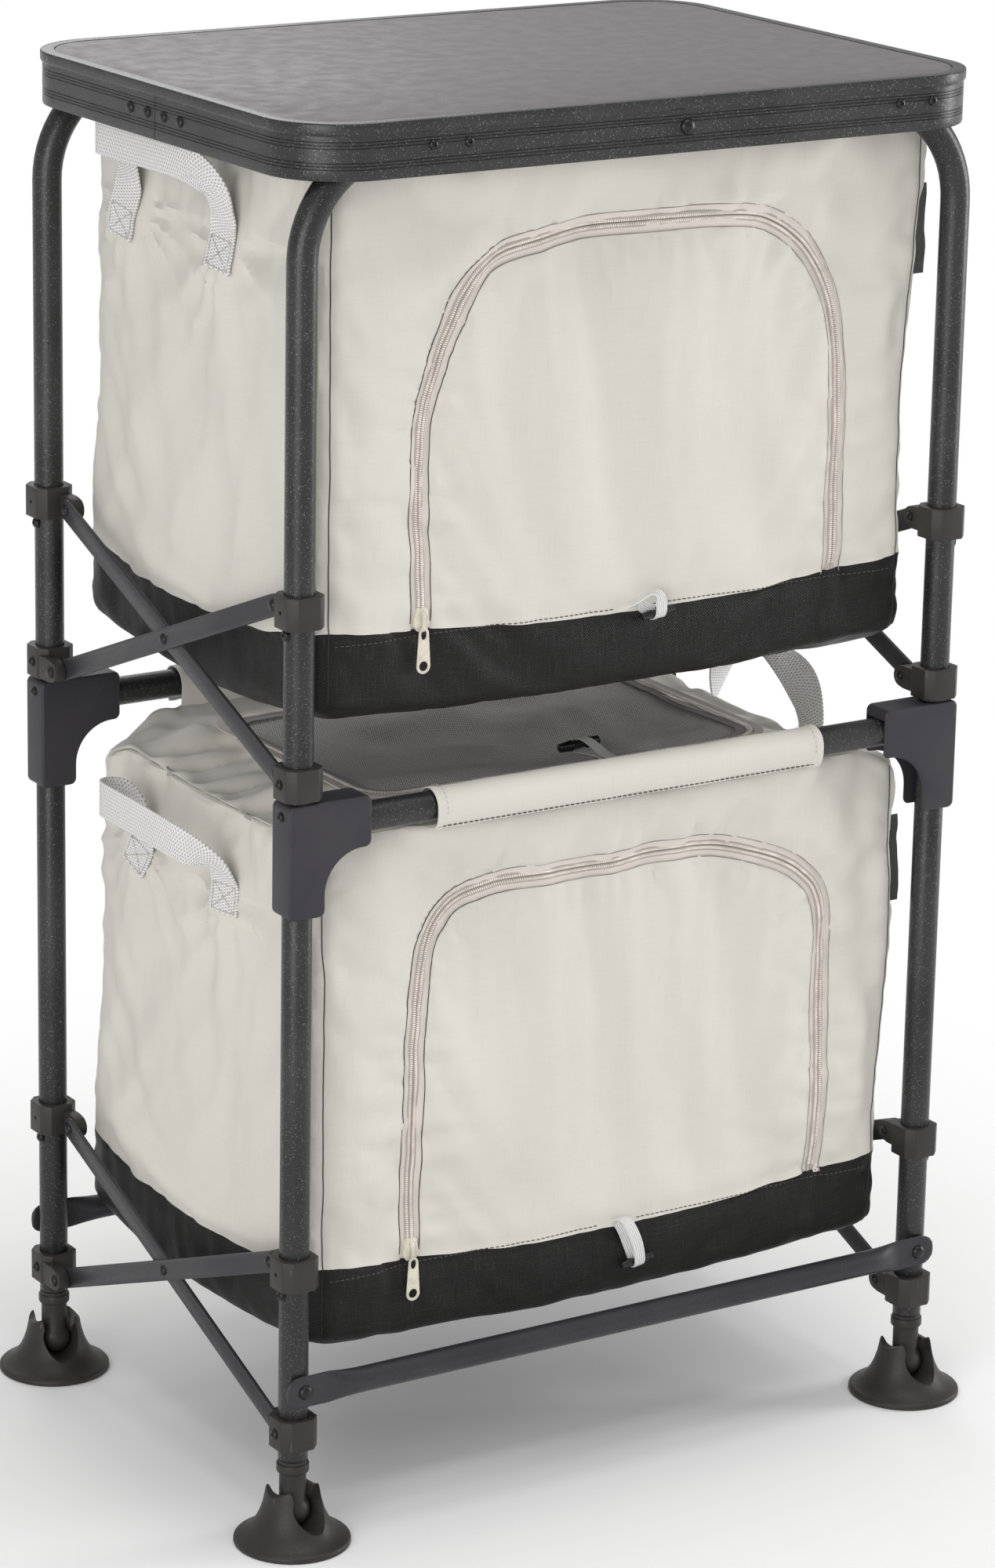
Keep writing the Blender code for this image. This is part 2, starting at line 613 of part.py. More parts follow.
def make_bar(level, side, kind):
    """A flat scissor bar with round ends. The rising one climbs to the front, outside the falling one."""
    pivot_z = PIVOT_HEIGHTS[level]
    back_z, front_z = pivot_z, pivot_z + SCISSOR_RISE
    inner = RISING_BAR_OUT
    if kind == "falling":
        back_z, front_z = front_z, back_z
        inner = FALLING_BAR_OUT
    outer = inner + BAR_THICKNESS
    ends = ((-PIVOT_Y, front_z), (PIVOT_Y, back_z))
    lean = math.degrees(math.atan2(back_z - front_z, 2 * PIVOT_Y))
    half = BAR_WIDTH / 2
    outline = [
        *arc(ends[0], half, lean + 90, lean + 270, END_STEPS),
        *arc(ends[1], half, lean - 90, lean + 90, END_STEPS),
    ]
    name = f"{side}_{level}_{kind}_bar"
    low, high = sorted(out_x(side, out) for out in (inner, outer))
    bar = plate(name, outline, low, high, "X", BAR_STEEL)
    middle_z = pivot_z + SCISSOR_RISE / 2
    if kind == "rising":
        lug_inner, lug_outer = lug_span("back", "fixed")
        pins = rivet(name + "_back", side, PIVOT_Y, back_z, inner, lug_outer)
        lug_inner, lug_outer = lug_span("front", "sliding")
        pins += rivet(name + "_front", side, -PIVOT_Y, front_z, outer, lug_inner)
        pins += rivet(name + "_middle", side, 0, middle_z, outer, FALLING_BAR_OUT - GAP, tail_head=True)
        fuse(bar, *pins)
        set_origin(bar, (SIDES[side] * LEG_X, PIVOT_Y, back_z))
        return
    for end, z, collar in (("back", back_z, "sliding"), ("front", front_z, "fixed")):
        lug_inner, lug_outer = lug_span(end, collar)
        fuse(bar, *rivet(f"{name}_{end}", side, ENDS[end] * PIVOT_Y, z, outer, lug_inner))
    bore = rod(
        name + "_bore",
        (low - OVERRUN, 0, middle_z),
        (high + OVERRUN, 0, middle_z),
        RIVET_RADIUS + GAP,
        SMALL_SIDES,
    )
    cut(bar, bore)
    set_origin(bar, (SIDES[side] * LEG_X, 0, middle_z))


# Ball feet


def make_foot(end, side):
    x, y = SIDES[side] * LEG_X, ENDS[end] * LEG_Y
    top = LEG_END_Z - GAP
    ring_top = top - STEM_PLUG_HEIGHT
    ring_foot = ring_top - STEM_RING_HEIGHT
    neck_angle = math.degrees(math.acos(NECK_RADIUS / BALL_RADIUS))
    ball = arc((0, BALL_Z), BALL_RADIUS, neck_angle, -90, BALL_STEPS)
    profile = [
        (0, top),
        (TUBE_RADIUS, top),
        (TUBE_RADIUS, ring_top),
        (STEM_RING_RADIUS, ring_top),
        (STEM_RING_RADIUS, ring_foot),
        (NECK_RADIUS, ring_foot),
        *ball[:-1],
        (0, BALL_Z - BALL_RADIUS),
    ]
    turned(f"{end}_{side}_foot_stem", profile, STEM_STEPS, (x, y, 0), FOOT_PLASTIC)
    make_cup(end, side)


def make_cup(end, side):
    """A round foot with a flared wall that holds the ball, open at two opposite slots for the neck."""
    x, y = SIDES[side] * LEG_X, ENDS[end] * LEG_Y
    socket = BALL_RADIUS + GAP
    wall_radius = socket + CUP_WALL
    flare = CUP_RADIUS - wall_radius
    rise = CUP_TOP_Z - CUP_EDGE
    bottom = arc((0, BALL_Z), socket, -90, 0, 5)
    outside = [(wall_radius + flare * a, CUP_EDGE + rise * b) for a, b in reversed(CUP_FLARE_SHARES)]
    profile = [
        (0, BALL_Z - socket),
        *bottom[1:],
        (socket + CUP_WALL / 2, CUP_TOP_Z),
        (wall_radius, CUP_TOP_Z),
        *outside,
        (CUP_RADIUS, 0),
        (0, 0),
    ]
    spin = math.radians(CUP_SPINS[corner_name(end, side)])
    cup = turned(f"{end}_{side}_foot_cup", profile, CUP_STEPS, (x, y, 0), FOOT_PLASTIC, spin)
    half, reach = CUP_SLOT_WIDTH / 2, CUP_RADIUS + OVERRUN
    centre_z = CUP_SLOT_FLOOR_Z + half
    slot_outline = [
        *arc((0, centre_z), half, 180, 360, END_STEPS),
        (half, CUP_TOP_Z + OVERRUN),
        (-half, CUP_TOP_Z + OVERRUN),
    ]
    slot = plate(cup.name + "_slot", slot_outline, -reach, reach, "X")
    slot.location = (x, y, 0)
    slot.rotation_euler.z = spin
    cut(cup, slot)
    cup.data.transform(Matrix.Translation((0, 0, -BALL_Z)))
    cup.location.z = BALL_Z


# Table top


def make_rim():
    """The bent aluminium extrusion round the board, one profile swept round the corners."""
    top, foot = TABLE_HEIGHT, TABLE_HEIGHT - RIM_HEIGHT
    wall_out = -RIM_BEAD_PROUD
    wall_in = wall_out - RIM_WALL
    bead_foot = top - RIM_BEAD_HEIGHT
    ledge_top = BOARD_UNDERSIDE_Z - GAP
    profile = [
        (wall_in - RIM_TOP_FLANGE + RIM_WALL, top),
        (-RIM_EDGE, top),
        (0, top - RIM_EDGE),
        (0, bead_foot),
        (wall_out, bead_foot - RIM_BEAD_PROUD),
        (wall_out, foot + RIM_EDGE),
        (wall_out - RIM_EDGE, foot),
        (wall_in - RIM_FOOT, foot),
        (wall_in - RIM_FOOT, foot + RIM_WALL),
        (wall_in, foot + RIM_WALL),
        (wall_in, ledge_top - RIM_WALL),
        (wall_in - RIM_LEDGE, ledge_top - RIM_WALL),
        (wall_in - RIM_LEDGE, ledge_top),
        (wall_in, ledge_top),
        (wall_in, top - RIM_TOP_THICKNESS),
        (wall_in - RIM_TOP_FLANGE + RIM_WALL, top - RIM_TOP_THICKNESS),
    ]
    half_x, half_y, radius = TABLE_HALF_WIDTH, TABLE_HALF_DEPTH, TABLE_CORNER_RADIUS
    loops = [
        rounded_rectangle(half_x + out, half_y + out, radius + out, CORNER_STEPS) for out, _ in profile
    ]
    bm = bmesh.new()
    rings = [[bm.verts.new((*p, z)) for p in loop] for loop, (_, z) in zip(loops, profile)]
    count = len(rings[0])
    for first, second in zip(rings, rings[1:] + rings[:1]):
        for i in range(count):
            j = (i + 1) % count
            bm.faces.new((first[i], first[j], second[j], second[i]))
    add_mesh_object("table_rim", mesh_from(bm, "table_rim"), POWDER_COAT)


def make_board():
    """The board, its face raised inside the rim's flange, and four saddles that drop over the top rails."""
    inset = RIM_BEAD_PROUD + RIM_WALL + GAP
    half_x, half_y, radius = TABLE_HALF_WIDTH - inset, TABLE_HALF_DEPTH - inset, TABLE_CORNER_RADIUS - inset
    outline = rounded_rectangle(half_x, half_y, radius, CORNER_STEPS)
    board = plate("table_board", outline, BOARD_UNDERSIDE_Z, BOARD_TOP_Z, "Z", BOARD_FACE)
    inset = RIM_BEAD_PROUD + RIM_TOP_FLANGE + GAP
    half_x, half_y, radius = TABLE_HALF_WIDTH - inset, TABLE_HALF_DEPTH - inset, TABLE_CORNER_RADIUS - inset
    face_outline = rounded_rectangle(half_x, half_y, radius, CORNER_STEPS)
    face_foot = BOARD_TOP_Z - BOARD_THICKNESS / 2
    fuse(board, plate("table_face", face_outline, face_foot, TABLE_HEIGHT - BOARD_FACE_DROP, "Z"))
    reach = TUBE_RADIUS + GAP + CLIP_LIP
    for end, sign in ENDS.items():
        inner_reach = reach if end == "back" else 0
        ys = sorted((sign * (LEG_Y - inner_reach), sign * (LEG_Y + reach)))
        for side in SIDES:
            x = SIDES[side] * CLIP_X
            low = (x - CLIP_WIDTH / 2, ys[0], TOP_RAIL_Z)
            high = (x + CLIP_WIDTH / 2, ys[1], BOARD_UNDERSIDE_Z + BOARD_THICKNESS / 2)
            fuse(board, block(f"{end}_{side}_clip", low, high))
    for end, sign in ENDS.items():
        ends = (-LEG_X, sign * LEG_Y, TOP_RAIL_Z), (LEG_X, sign * LEG_Y, TOP_RAIL_Z)
        cut(board, rod(f"{end}_clip_groove", *ends, TUBE_RADIUS + GAP))


# Fabric compartments


def panel_outline(rail_z):
    """A front or back wall: round lower corners, and shoulders that slope up to the sleeve."""
    foot = rail_z - BAG_HEIGHT
    half, radius = BAG_HALF_WIDTH, BAG_CORNER_RADIUS
    right = [
        *arc((half - radius, foot + radius), radius, -90, 0, 4),
        (half, rail_z - SIDE_SHOULDER_DROP),
        (SHOULDER_X, rail_z - SHOULDER_DROP),
        (SLEEVE_HALF_LENGTH, rail_z),
    ]
    return right + [(-x, z) for x, z in reversed(right)]


def door_outline(rail_z, grow):
    """The U of the zipped door, grown outwards for the opening that it closes."""
    foot = rail_z - BAG_HEIGHT + BAND_HEIGHT
    top, half = rail_z - DOOR_TOP_DROP + grow, DOOR_HALF_WIDTH + grow
    radius = DOOR_CORNER_RADIUS + grow
    return [
        (half, foot),
        *arc((half - radius, top - radius), radius, 0, 90, 8),
        *arc((radius - half, top - radius), radius, 90, 180, 8),
        (-half, foot),
    ]


def sleeve(name, end, rail_z, radius, half_length):
    y = ENDS[end] * LEG_Y
    return rod(name, (-half_length, y, rail_z), (half_length, y, rail_z), radius)


def make_panel(level, end, rail_z):
    sign = ENDS[end]
    name = f"{level}_bag_{end}"
    low, high = sorted((sign * PANEL_OUTER_Y, sign * PANEL_INNER_Y))
    panel = plate(name, panel_outline(rail_z), low, high, "Y", FABRIC)
    outer = TUBE_RADIUS + GAP + SLEEVE_WALL
    fuse(panel, sleeve(name + "_sleeve", end, rail_z, outer, SLEEVE_HALF_LENGTH))
    cut(panel, sleeve(name + "_rail", end, rail_z, TUBE_RADIUS + GAP, LEG_X))
    return panel


def make_door(level, rail_z, panel):
    """The zipped front door, hinged along the top of the base band, and the slider at the zip's lower end."""
    face, back = -PANEL_OUTER_Y, -PANEL_INNER_Y
    opening_name = f"{level}_door_opening"
    opening = plate(opening_name, door_outline(rail_z, DOOR_EDGE_GAP), face - OVERRUN, back + OVERRUN, "Y")
    cut(panel, opening)
    foot = rail_z - BAG_HEIGHT + BAND_HEIGHT
    outline = door_outline(rail_z, 0)
    outline[0] = (outline[0][0], foot + GAP)
    outline[-1] = (outline[-1][0], foot + GAP)
    door = plate(f"{level}_bag_door", outline, face, back, "Y", FABRIC)
    set_origin(door, (0, face, foot))
    slider = block(
        f"{level}_slider",
        (-ZIP_X - SLIDER_WIDTH / 2, face - SLIDER_DEPTH, foot - SLIDER_HEIGHT / 2),
        (-ZIP_X + SLIDER_WIDTH / 2, face + BAG_WALL / 2, foot + SLIDER_HEIGHT / 2),
    )
    fuse(panel, slider)
    make_pull(level, face - SLIDER_DEPTH - PULL_GAP, foot)


def make_pull(level, back_y, pivot_z):
    """The tab that hangs from the slider, with a hole in its round end."""
    end_z = pivot_z + PULL_HEAD - PULL_LENGTH + PULL_END_RADIUS
    tab = [
        (-ZIP_X + PULL_NECK_HALF_WIDTH, pivot_z + PULL_HEAD),
        (-ZIP_X - PULL_NECK_HALF_WIDTH, pivot_z + PULL_HEAD),
        *arc((-ZIP_X, end_z), PULL_END_RADIUS, 170, 370, END_STEPS),
    ]
    hole = arc((-ZIP_X, end_z), PULL_HOLE_RADIUS, 0, 330, 11)
    front_y = back_y - PULL_THICKNESS
    pull = plate(f"{level}_zip_pull", tab, front_y, back_y, "Y", ZIP_METAL, [hole])
    set_origin(pull, (-ZIP_X, (front_y + back_y) / 2, pivot_z))


def handle_outline(side):
    """A webbing strap that bows out from the end wall, seen from above."""
    sign = SIDES[side]
    inner = []
    outer = []
    for i in range(HANDLE_STEPS + 1):
        angle = math.pi * i / HANDLE_STEPS
        along, bulge = math.cos(angle), math.sin(angle)
        for points, extra in ((inner, 0), (outer, STRAP_THICKNESS)):
            x = BAG_HALF_WIDTH - BAG_WALL / 2 + (HANDLE_BULGE + extra) * bulge
            y = HANDLE_CENTRE_Y + (HANDLE_HALF_SPAN + extra) * along
            points.append((sign * x, y))
    return inner + outer[::-1]


def make_tub(level, rail_z):
    """The end walls, base and top border of a compartment, as one fabric tube open at front and back."""
    half_y = PANEL_INNER_Y - GAP
    top, foot = rail_z - BAG_TOP_DROP, rail_z - BAG_HEIGHT
    middle_z, half_z = (top + foot) / 2, (top - foot) / 2

    def section(inset):
        shape = rounded_rectangle(BAG_HALF_WIDTH - inset, half_z - inset, BAG_CORNER_RADIUS - inset, 4)
        return [(x, middle_z + z) for x, z in shape]

    name = f"{level}_bag_tub"
    tub = plate(name, section(0), -half_y, half_y, "Y", FABRIC, [section(BAG_WALL)])
    x = LID_HALF_WIDTH + LID_EDGE_GAP
    low = (-x, -LID_HALF_DEPTH - LID_EDGE_GAP, top - BAG_WALL - OVERRUN)
    high = (x, LID_HALF_DEPTH + LID_HINGE_GAP, top + OVERRUN)
    cut(tub, block(name + "_lid_opening", low, high))
    strap_z = rail_z - HANDLE_DROP
    for side in SIDES:
        strap = plate(
            f"{name}_{side}_handle",
            handle_outline(side),
            strap_z - STRAP_WIDTH / 2,
            strap_z + STRAP_WIDTH / 2,
            "Z",
        )
        fuse(tub, strap)


def make_lid(level, rail_z):
    top = rail_z - BAG_TOP_DROP
    outline = rounded_rectangle(LID_HALF_WIDTH, LID_HALF_DEPTH, BAG_CORNER_RADIUS, 3)
    lid = plate(f"{level}_bag_lid", outline, top - LID_THICKNESS, top, "Z", MESH_CLOTH)
    set_origin(lid, (0, LID_HALF_DEPTH, top))


def make_bag(level, rail_z):
    front = make_panel(level, "front", rail_z)
    make_panel(level, "back", rail_z)
    make_door(level, rail_z, front)
    make_tub(level, rail_z)
    make_lid(level, rail_z)


def main():
    for end in ENDS:
        make_upper_frame(end)
        make_mid_rail(end)
        make_stretcher(end)
        for side in SIDES:
            make_lower_leg(end, side)
            make_gusset(end, side)
            make_foot(end, side)
            for level in PIVOT_HEIGHTS:
                make_collar(level, end, side, "fixed")
                make_collar(level, end, side, "sliding")
    for level in PIVOT_HEIGHTS:
        for side in SIDES:
            make_bar(level, side, "rising")
            make_bar(level, side, "falling")
    make_rim()
    make_board()
    make_bag("upper", TOP_RAIL_Z)
    make_bag("lower", MID_RAIL_Z)


main()
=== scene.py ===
"""Looks of the folding camp kitchen cupboard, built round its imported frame."""

import itertools
import json
import math

import bmesh
import bpy
import numpy as np
from bpy.props import FloatProperty, FloatVectorProperty, IntProperty, PointerProperty
from mathutils import Matrix, Vector
from mathutils.bvhtree import BVHTree
from mathutils.noise import noise as smooth_noise

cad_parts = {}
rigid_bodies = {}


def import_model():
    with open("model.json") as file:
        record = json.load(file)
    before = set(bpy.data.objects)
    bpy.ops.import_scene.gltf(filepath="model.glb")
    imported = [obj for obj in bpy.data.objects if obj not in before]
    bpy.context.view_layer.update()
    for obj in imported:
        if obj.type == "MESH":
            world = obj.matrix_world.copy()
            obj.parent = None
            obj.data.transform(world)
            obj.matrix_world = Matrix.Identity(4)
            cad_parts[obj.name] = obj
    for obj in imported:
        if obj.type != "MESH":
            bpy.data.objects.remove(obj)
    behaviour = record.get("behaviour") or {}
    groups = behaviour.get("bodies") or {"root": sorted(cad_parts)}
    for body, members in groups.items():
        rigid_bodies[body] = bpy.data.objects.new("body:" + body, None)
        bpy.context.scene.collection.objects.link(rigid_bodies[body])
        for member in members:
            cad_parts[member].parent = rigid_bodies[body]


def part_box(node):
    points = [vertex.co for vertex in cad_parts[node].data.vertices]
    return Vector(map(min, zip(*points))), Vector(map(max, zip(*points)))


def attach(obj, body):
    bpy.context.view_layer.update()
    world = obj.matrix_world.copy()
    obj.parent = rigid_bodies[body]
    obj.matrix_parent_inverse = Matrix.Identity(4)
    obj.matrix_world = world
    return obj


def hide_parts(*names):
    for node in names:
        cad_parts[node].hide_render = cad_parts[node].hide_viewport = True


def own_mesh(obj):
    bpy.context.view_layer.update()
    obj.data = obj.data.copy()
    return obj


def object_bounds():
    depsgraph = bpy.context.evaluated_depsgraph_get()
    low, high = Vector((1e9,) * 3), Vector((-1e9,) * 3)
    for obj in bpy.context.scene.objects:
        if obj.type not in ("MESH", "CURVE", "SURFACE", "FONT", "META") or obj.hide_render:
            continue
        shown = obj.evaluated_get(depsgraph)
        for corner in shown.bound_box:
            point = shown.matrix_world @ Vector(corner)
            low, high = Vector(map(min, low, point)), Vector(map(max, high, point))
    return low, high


bl_info = {
    "name": "Camp Kitchen Cupboard",
    "version": (1, 0, 0),
    "blender": (4, 5, 0),
    "location": "View3D > Sidebar > Cupboard",
    "description": "Builds the looks of a folding camp kitchen cupboard round its fixed frame",
    "category": "Object",
}

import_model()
cad_low, cad_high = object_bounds()


def middle(node):
    low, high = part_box(node)
    return (low + high) / 2


MID_RAIL = {end: middle(f"{end}_mid_rail") for end in ("front", "back")}
TUBE_RADIUS = (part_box("front_mid_rail")[1].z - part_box("front_mid_rail")[0].z) / 2
LEG_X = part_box("front_right_lower_leg")[0].x + TUBE_RADIUS
LEG_Y = MID_RAIL["back"].y
TOP_RAIL_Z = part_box("front_upper_frame")[1].z - TUBE_RADIUS
MID_RAIL_Z = MID_RAIL["front"].z
TABLE_LOW, TABLE_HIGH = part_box("table_rim")
SIDES = {"left": -1, "right": 1}
ENDS = {"front": -1, "back": 1}
LEVELS = ("lower", "upper")
LEG_END_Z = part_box("front_left_lower_leg")[0].z
FIXED_PIVOT = {level: middle(f"front_left_{level}_fixed_collar").z - 0.002 for level in LEVELS}
RISE = middle("front_left_lower_sliding_collar").z - middle("front_left_lower_fixed_collar").z
PIVOT_Y = LEG_Y - 0.029
RAIL_Z = {"lower": MID_RAIL_Z, "upper": TOP_RAIL_Z}
BAG_HALF_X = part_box("upper_bag_front")[1].x
BAG_FACE_Y = -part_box("upper_bag_door")[0].y
BAG_FOOT = {level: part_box(f"{level}_bag_tub")[0].z for level in LEVELS}
BAG_TOP = {level: RAIL_Z[level] - 0.013 for level in LEVELS}
BAND_TOP = {level: BAG_FOOT[level] + 0.060 for level in LEVELS}
SEAM_X = BAG_HALF_X - 0.004
LID_HALF = (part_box("upper_bag_lid")[1].x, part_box("upper_bag_lid")[1].y)

# Where the zips run on the front panels, as x and z from the left end over the top to the right end.
ZIP_LINES = {
    "upper": [
        (-0.1735, 0.6763), (-0.1730, 0.7300), (-0.1720, 0.7943), (-0.1630, 0.8603), (-0.1320, 0.9303),
        (-0.0740, 0.9503), (-0.0080, 0.9563), (0.0810, 0.9573), (0.1300, 0.9443), (0.1660, 0.9093),
        (0.1810, 0.8613), (0.1860, 0.7783), (0.1870, 0.6763),
    ],
    "lower": [
        (-0.1745, 0.1955), (-0.1750, 0.2800), (-0.1750, 0.3683), (-0.1560, 0.4483), (-0.1030, 0.4763),
        (-0.0210, 0.4783), (0.0490, 0.4803), (0.1130, 0.4703), (0.1650, 0.4473), (0.1890, 0.4063),
        (0.1900, 0.2913), (0.1900, 0.1955),
    ],
}
ZIP_REACH = 0.0084
LID_CORNER = 0.030
BAG_CELL = 0.0078
CLOTH_THICKNESS = 0.003
NEAR = 1e-5
RAY_START = 0.4
UP = Vector((0, 0, 1))
CLEARANCE = 0.0003
COLLAR_HALF_HEIGHT = 0.012
BAR_END_RADIUS = 0.008
BAR_THICKNESS = 0.003
RIVET_RADIUS = 0.0026
RIVET_TAIL_RADIUS = 0.0036
STOP_SCREW_RADIUS = 0.0044
RIBBON_BEVEL = 0.0003
HANDLE_STEP = 0.003
HANDLE_WIDTH = 0.0275
HANDLE_THICKNESS = 0.0016
ELASTIC_WIDTH = 0.0094
LOOP_X = 0.004
BAND_STITCHES = 112
SLEEVE_CELLS = 76
SHELLS = {}
SEAMS = {}

# A handle's stops: how far it stands off the side, y, height above the rail, and y and z of its width's
# direction (and its x, where it has one).
HANDLE_STOPS = {
    "upper": [
        (0.0003, 0.1240, -0.1120, 0.97, 0.22), (0.0004, 0.1205, -0.0950, 0.97, 0.22),
        (0.0020, 0.1160, -0.0790, 0.97, 0.22), (0.0050, 0.1125, -0.0650, 1.00, 0.05),
        (0.0075, 0.1120, -0.0530, 0.93, -0.35), (0.0100, 0.1140, -0.0440, 0.70, -0.71),
        (0.0130, 0.1170, -0.0380, 0.35, -0.93), (0.0185, 0.1198, -0.0345, 0, -1),
        (0.0255, 0.1200, -0.0332, 0, -1), (0.0325, 0.1150, -0.0325, 0, -1),
        (0.0358, 0.1030, -0.0322, 0, -1), (0.0365, 0.0581, -0.0318, 0, -1),
        (0.0345, 0.0110, -0.0310, 0, -1), (0.0290, -0.0168, -0.0335, 0.15, -0.98),
        (0.0220, -0.0308, -0.0400, 0.45, -0.88), (0.0140, -0.0380, -0.0510, 0.8, -0.55),
        (0.0060, -0.0370, -0.0670, 0.97, -0.20), (0.0015, -0.0325, -0.0800, 1, 0),
        (0.0004, -0.0300, -0.0950, 1, 0.05), (0.0003, -0.0275, -0.1110, 1, 0.08),
    ],
    "lower": [
        (0.0003, 0.1130, -0.1170, 0.90, 0.42), (0.0004, 0.1060, -0.1040, 0.90, 0.42),
        (0.0030, 0.0995, -0.0915, 0.90, 0.42), (0.0060, 0.0960, -0.0810, 0.97, 0.20),
        (0.0085, 0.0960, -0.0720, 0.95, -0.30), (0.0110, 0.0990, -0.0650, 0.70, -0.71),
        (0.0150, 0.1045, -0.0600, 0.35, -0.93), (0.0215, 0.1090, -0.0570, 0, -1),
        (0.0300, 0.1100, -0.0555, 0, -1), (0.0380, 0.1060, -0.0548, 0, -1),
        (0.0418, 0.0940, -0.0540, 0, -1), (0.0425, 0.0558, -0.0530, -0.05, -1),
        (0.0435, 0.0157, -0.0535, 0, -1), (0.0400, -0.0143, -0.0560, 0.1, -0.98),
        (0.0310, -0.0280, -0.0610, 0.4, -0.9), (0.0200, -0.0360, -0.0670, 0.75, -0.62),
        (0.0100, -0.0380, -0.0750, 0.95, -0.28), (0.0025, -0.0360, -0.0860, 0.98, -0.05),
        (0.0004, -0.0345, -0.0990, 1, 0.1), (0.0003, -0.0338, -0.1120, 1, 0.1),
    ],
    "standing": [
        (0.0003, 0.1120, -0.1160, 0.76, 0.65), (0.0004, 0.1010, -0.1040, 0.76, 0.65),
        (0.0030, 0.0880, -0.0900, 0.85, 0.50),
        (0.0100, 0.0760, -0.0680, 0.9, 0.30), (0.0140, 0.0680, -0.0400, 0.7, 0.1, 0.7),
        (0.0120, 0.0580, -0.0100, 0.2, 0, 1),
        (0.0080, 0.0380, 0.0140, 0, 0, 1), (0.0050, 0.0080, 0.0240, 0, 0, 1),
        (0.0060, -0.0220, 0.0200, -0.2, 0, 1),
        (0.0100, -0.0440, 0.0050, -0.6, 0, 0.8), (0.0130, -0.0560, -0.0180, -0.95, 0, 0.3),
        (0.0120, -0.0580, -0.0420, -1, 0),
        (0.0060, -0.0520, -0.0700, -1, 0), (0.0020, -0.0440, -0.0880, -1, -0.1),
        (0.0004, -0.0405, -0.0990, -1, -0.1),
        (0.0003, -0.0398, -0.1120, -1, -0.1),
    ],
}


class TubeSettings(bpy.types.PropertyGroup):
    bend_radius: FloatProperty(
        name="Bend radius", description="Radius of the upper tubes' bends", default=0.078, unit="LENGTH"
    )
    sides: IntProperty(name="Sides", description="Faces round a tube", default=40, min=12)
    colour: FloatVectorProperty(
        name="Powder coat", description="Colour of the tubes", subtype="COLOR", size=3,
        default=(0.022, 0.022, 0.023), min=0, max=1,
    )
    sparkle: FloatProperty(
        name="Sparkle", description="Strength of the flakes in the powder coat", default=0.5, min=0, max=1
    )


class TableSettings(bpy.types.PropertyGroup):
    corner_radius: FloatProperty(
        name="Corner radius", description="Radius of the table top's corners", default=0.058, unit="LENGTH"
    )
    groove_depth: FloatProperty(
        name="Groove depth", description="Depth of the fine grooves along the rim", default=0.0006,
        unit="LENGTH"
    )
    colour: FloatVectorProperty(
        name="Board", description="Colour of the board's face", subtype="COLOR", size=3,
        default=(0.140, 0.131, 0.135), min=0, max=1,
    )


class FittingSettings(bpy.types.PropertyGroup):
    collar_colour: FloatVectorProperty(
        name="Collars", description="Colour of the moulded collars", subtype="COLOR", size=3,
        default=(0.027, 0.025, 0.022), min=0, max=1,
    )
    gusset_colour: FloatVectorProperty(
        name="Gussets", description="Colour of the moulded gussets", subtype="COLOR", size=3,
        default=(0.030, 0.028, 0.035), min=0, max=1,
    )
    foot_colour: FloatVectorProperty(
        name="Feet", description="Colour of the feet", subtype="COLOR", size=3,
        default=(0.024, 0.022, 0.020), min=0, max=1,
    )
    edge_radius: FloatProperty(
        name="Edge radius", description="Rounding of a moulded edge", default=0.0022, unit="LENGTH"
    )


class FabricSettings(bpy.types.PropertyGroup):
    cloth_colour: FloatVectorProperty(
        name="Cloth", description="Colour of the padded cloth", subtype="COLOR", size=3,
        default=(0.665, 0.641, 0.580), min=0, max=1,
    )
    band_colour: FloatVectorProperty(
        name="Base band", description="Colour of the coated base band", subtype="COLOR", size=3,
        default=(0.0045, 0.0044, 0.0043), min=0, max=1,
    )
    mesh_colour: FloatVectorProperty(
        name="Mesh", description="Colour of the mesh lid", subtype="COLOR", size=3,
        default=(0.80, 0.78, 0.76), min=0, max=1,
    )
    zip_colour: FloatVectorProperty(
        name="Zip tape", description="Colour of the zip's tape and coil", subtype="COLOR", size=3,
        default=(0.77, 0.705, 0.650), min=0, max=1,
    )


# Shader node groups


def new_group(name, inputs, outputs):
    """A shader node group with named sockets; returns its tree, its input node and its output node."""
    tree = bpy.data.node_groups.new(name, "ShaderNodeTree")
    for label, kind, default in inputs:
        socket = tree.interface.new_socket(label, in_out="INPUT", socket_type=kind)
        socket.default_value = default
    for label, kind in outputs:
        tree.interface.new_socket(label, in_out="OUTPUT", socket_type=kind)
    return tree, tree.nodes.new("NodeGroupInput"), tree.nodes.new("NodeGroupOutput")


def add_node(tree, kind, links=None, **values):
    """A node with its sockets set or linked, and its other settings given by name."""
    node = tree.nodes.new(kind)
    for key, value in values.items():
        setattr(node, key, value)
    for label, value in (links or {}).items():
        socket = node.inputs[label]
        if isinstance(value, bpy.types.NodeSocket):
            tree.links.new(value, socket)
        else:
            socket.default_value = value
    return node


def math_node(tree, operation, *values):
    return add_node(tree, "ShaderNodeMath", dict(enumerate(values)), operation=operation).outputs[0]


def mix_colour(tree, factor, first, second, blend="MIX"):
    node = add_node(tree, "ShaderNodeMix", data_type="RGBA", blend_type=blend)
    for socket, value in ((node.inputs[0], factor), (node.inputs[6], first), (node.inputs[7], second)):
        if isinstance(value, bpy.types.NodeSocket):
            tree.links.new(value, socket)
        else:
            socket.default_value = value
    return node.outputs[2]


def ramp(tree, value, *stops):
    node = add_node(tree, "ShaderNodeMapRange", {"Value": value})
    node.interpolation_type = "SMOOTHSTEP"
    for label, number in zip(("From Min", "From Max", "To Min", "To Max"), stops):
        node.inputs[label].default_value = number
    return node.outputs[0]


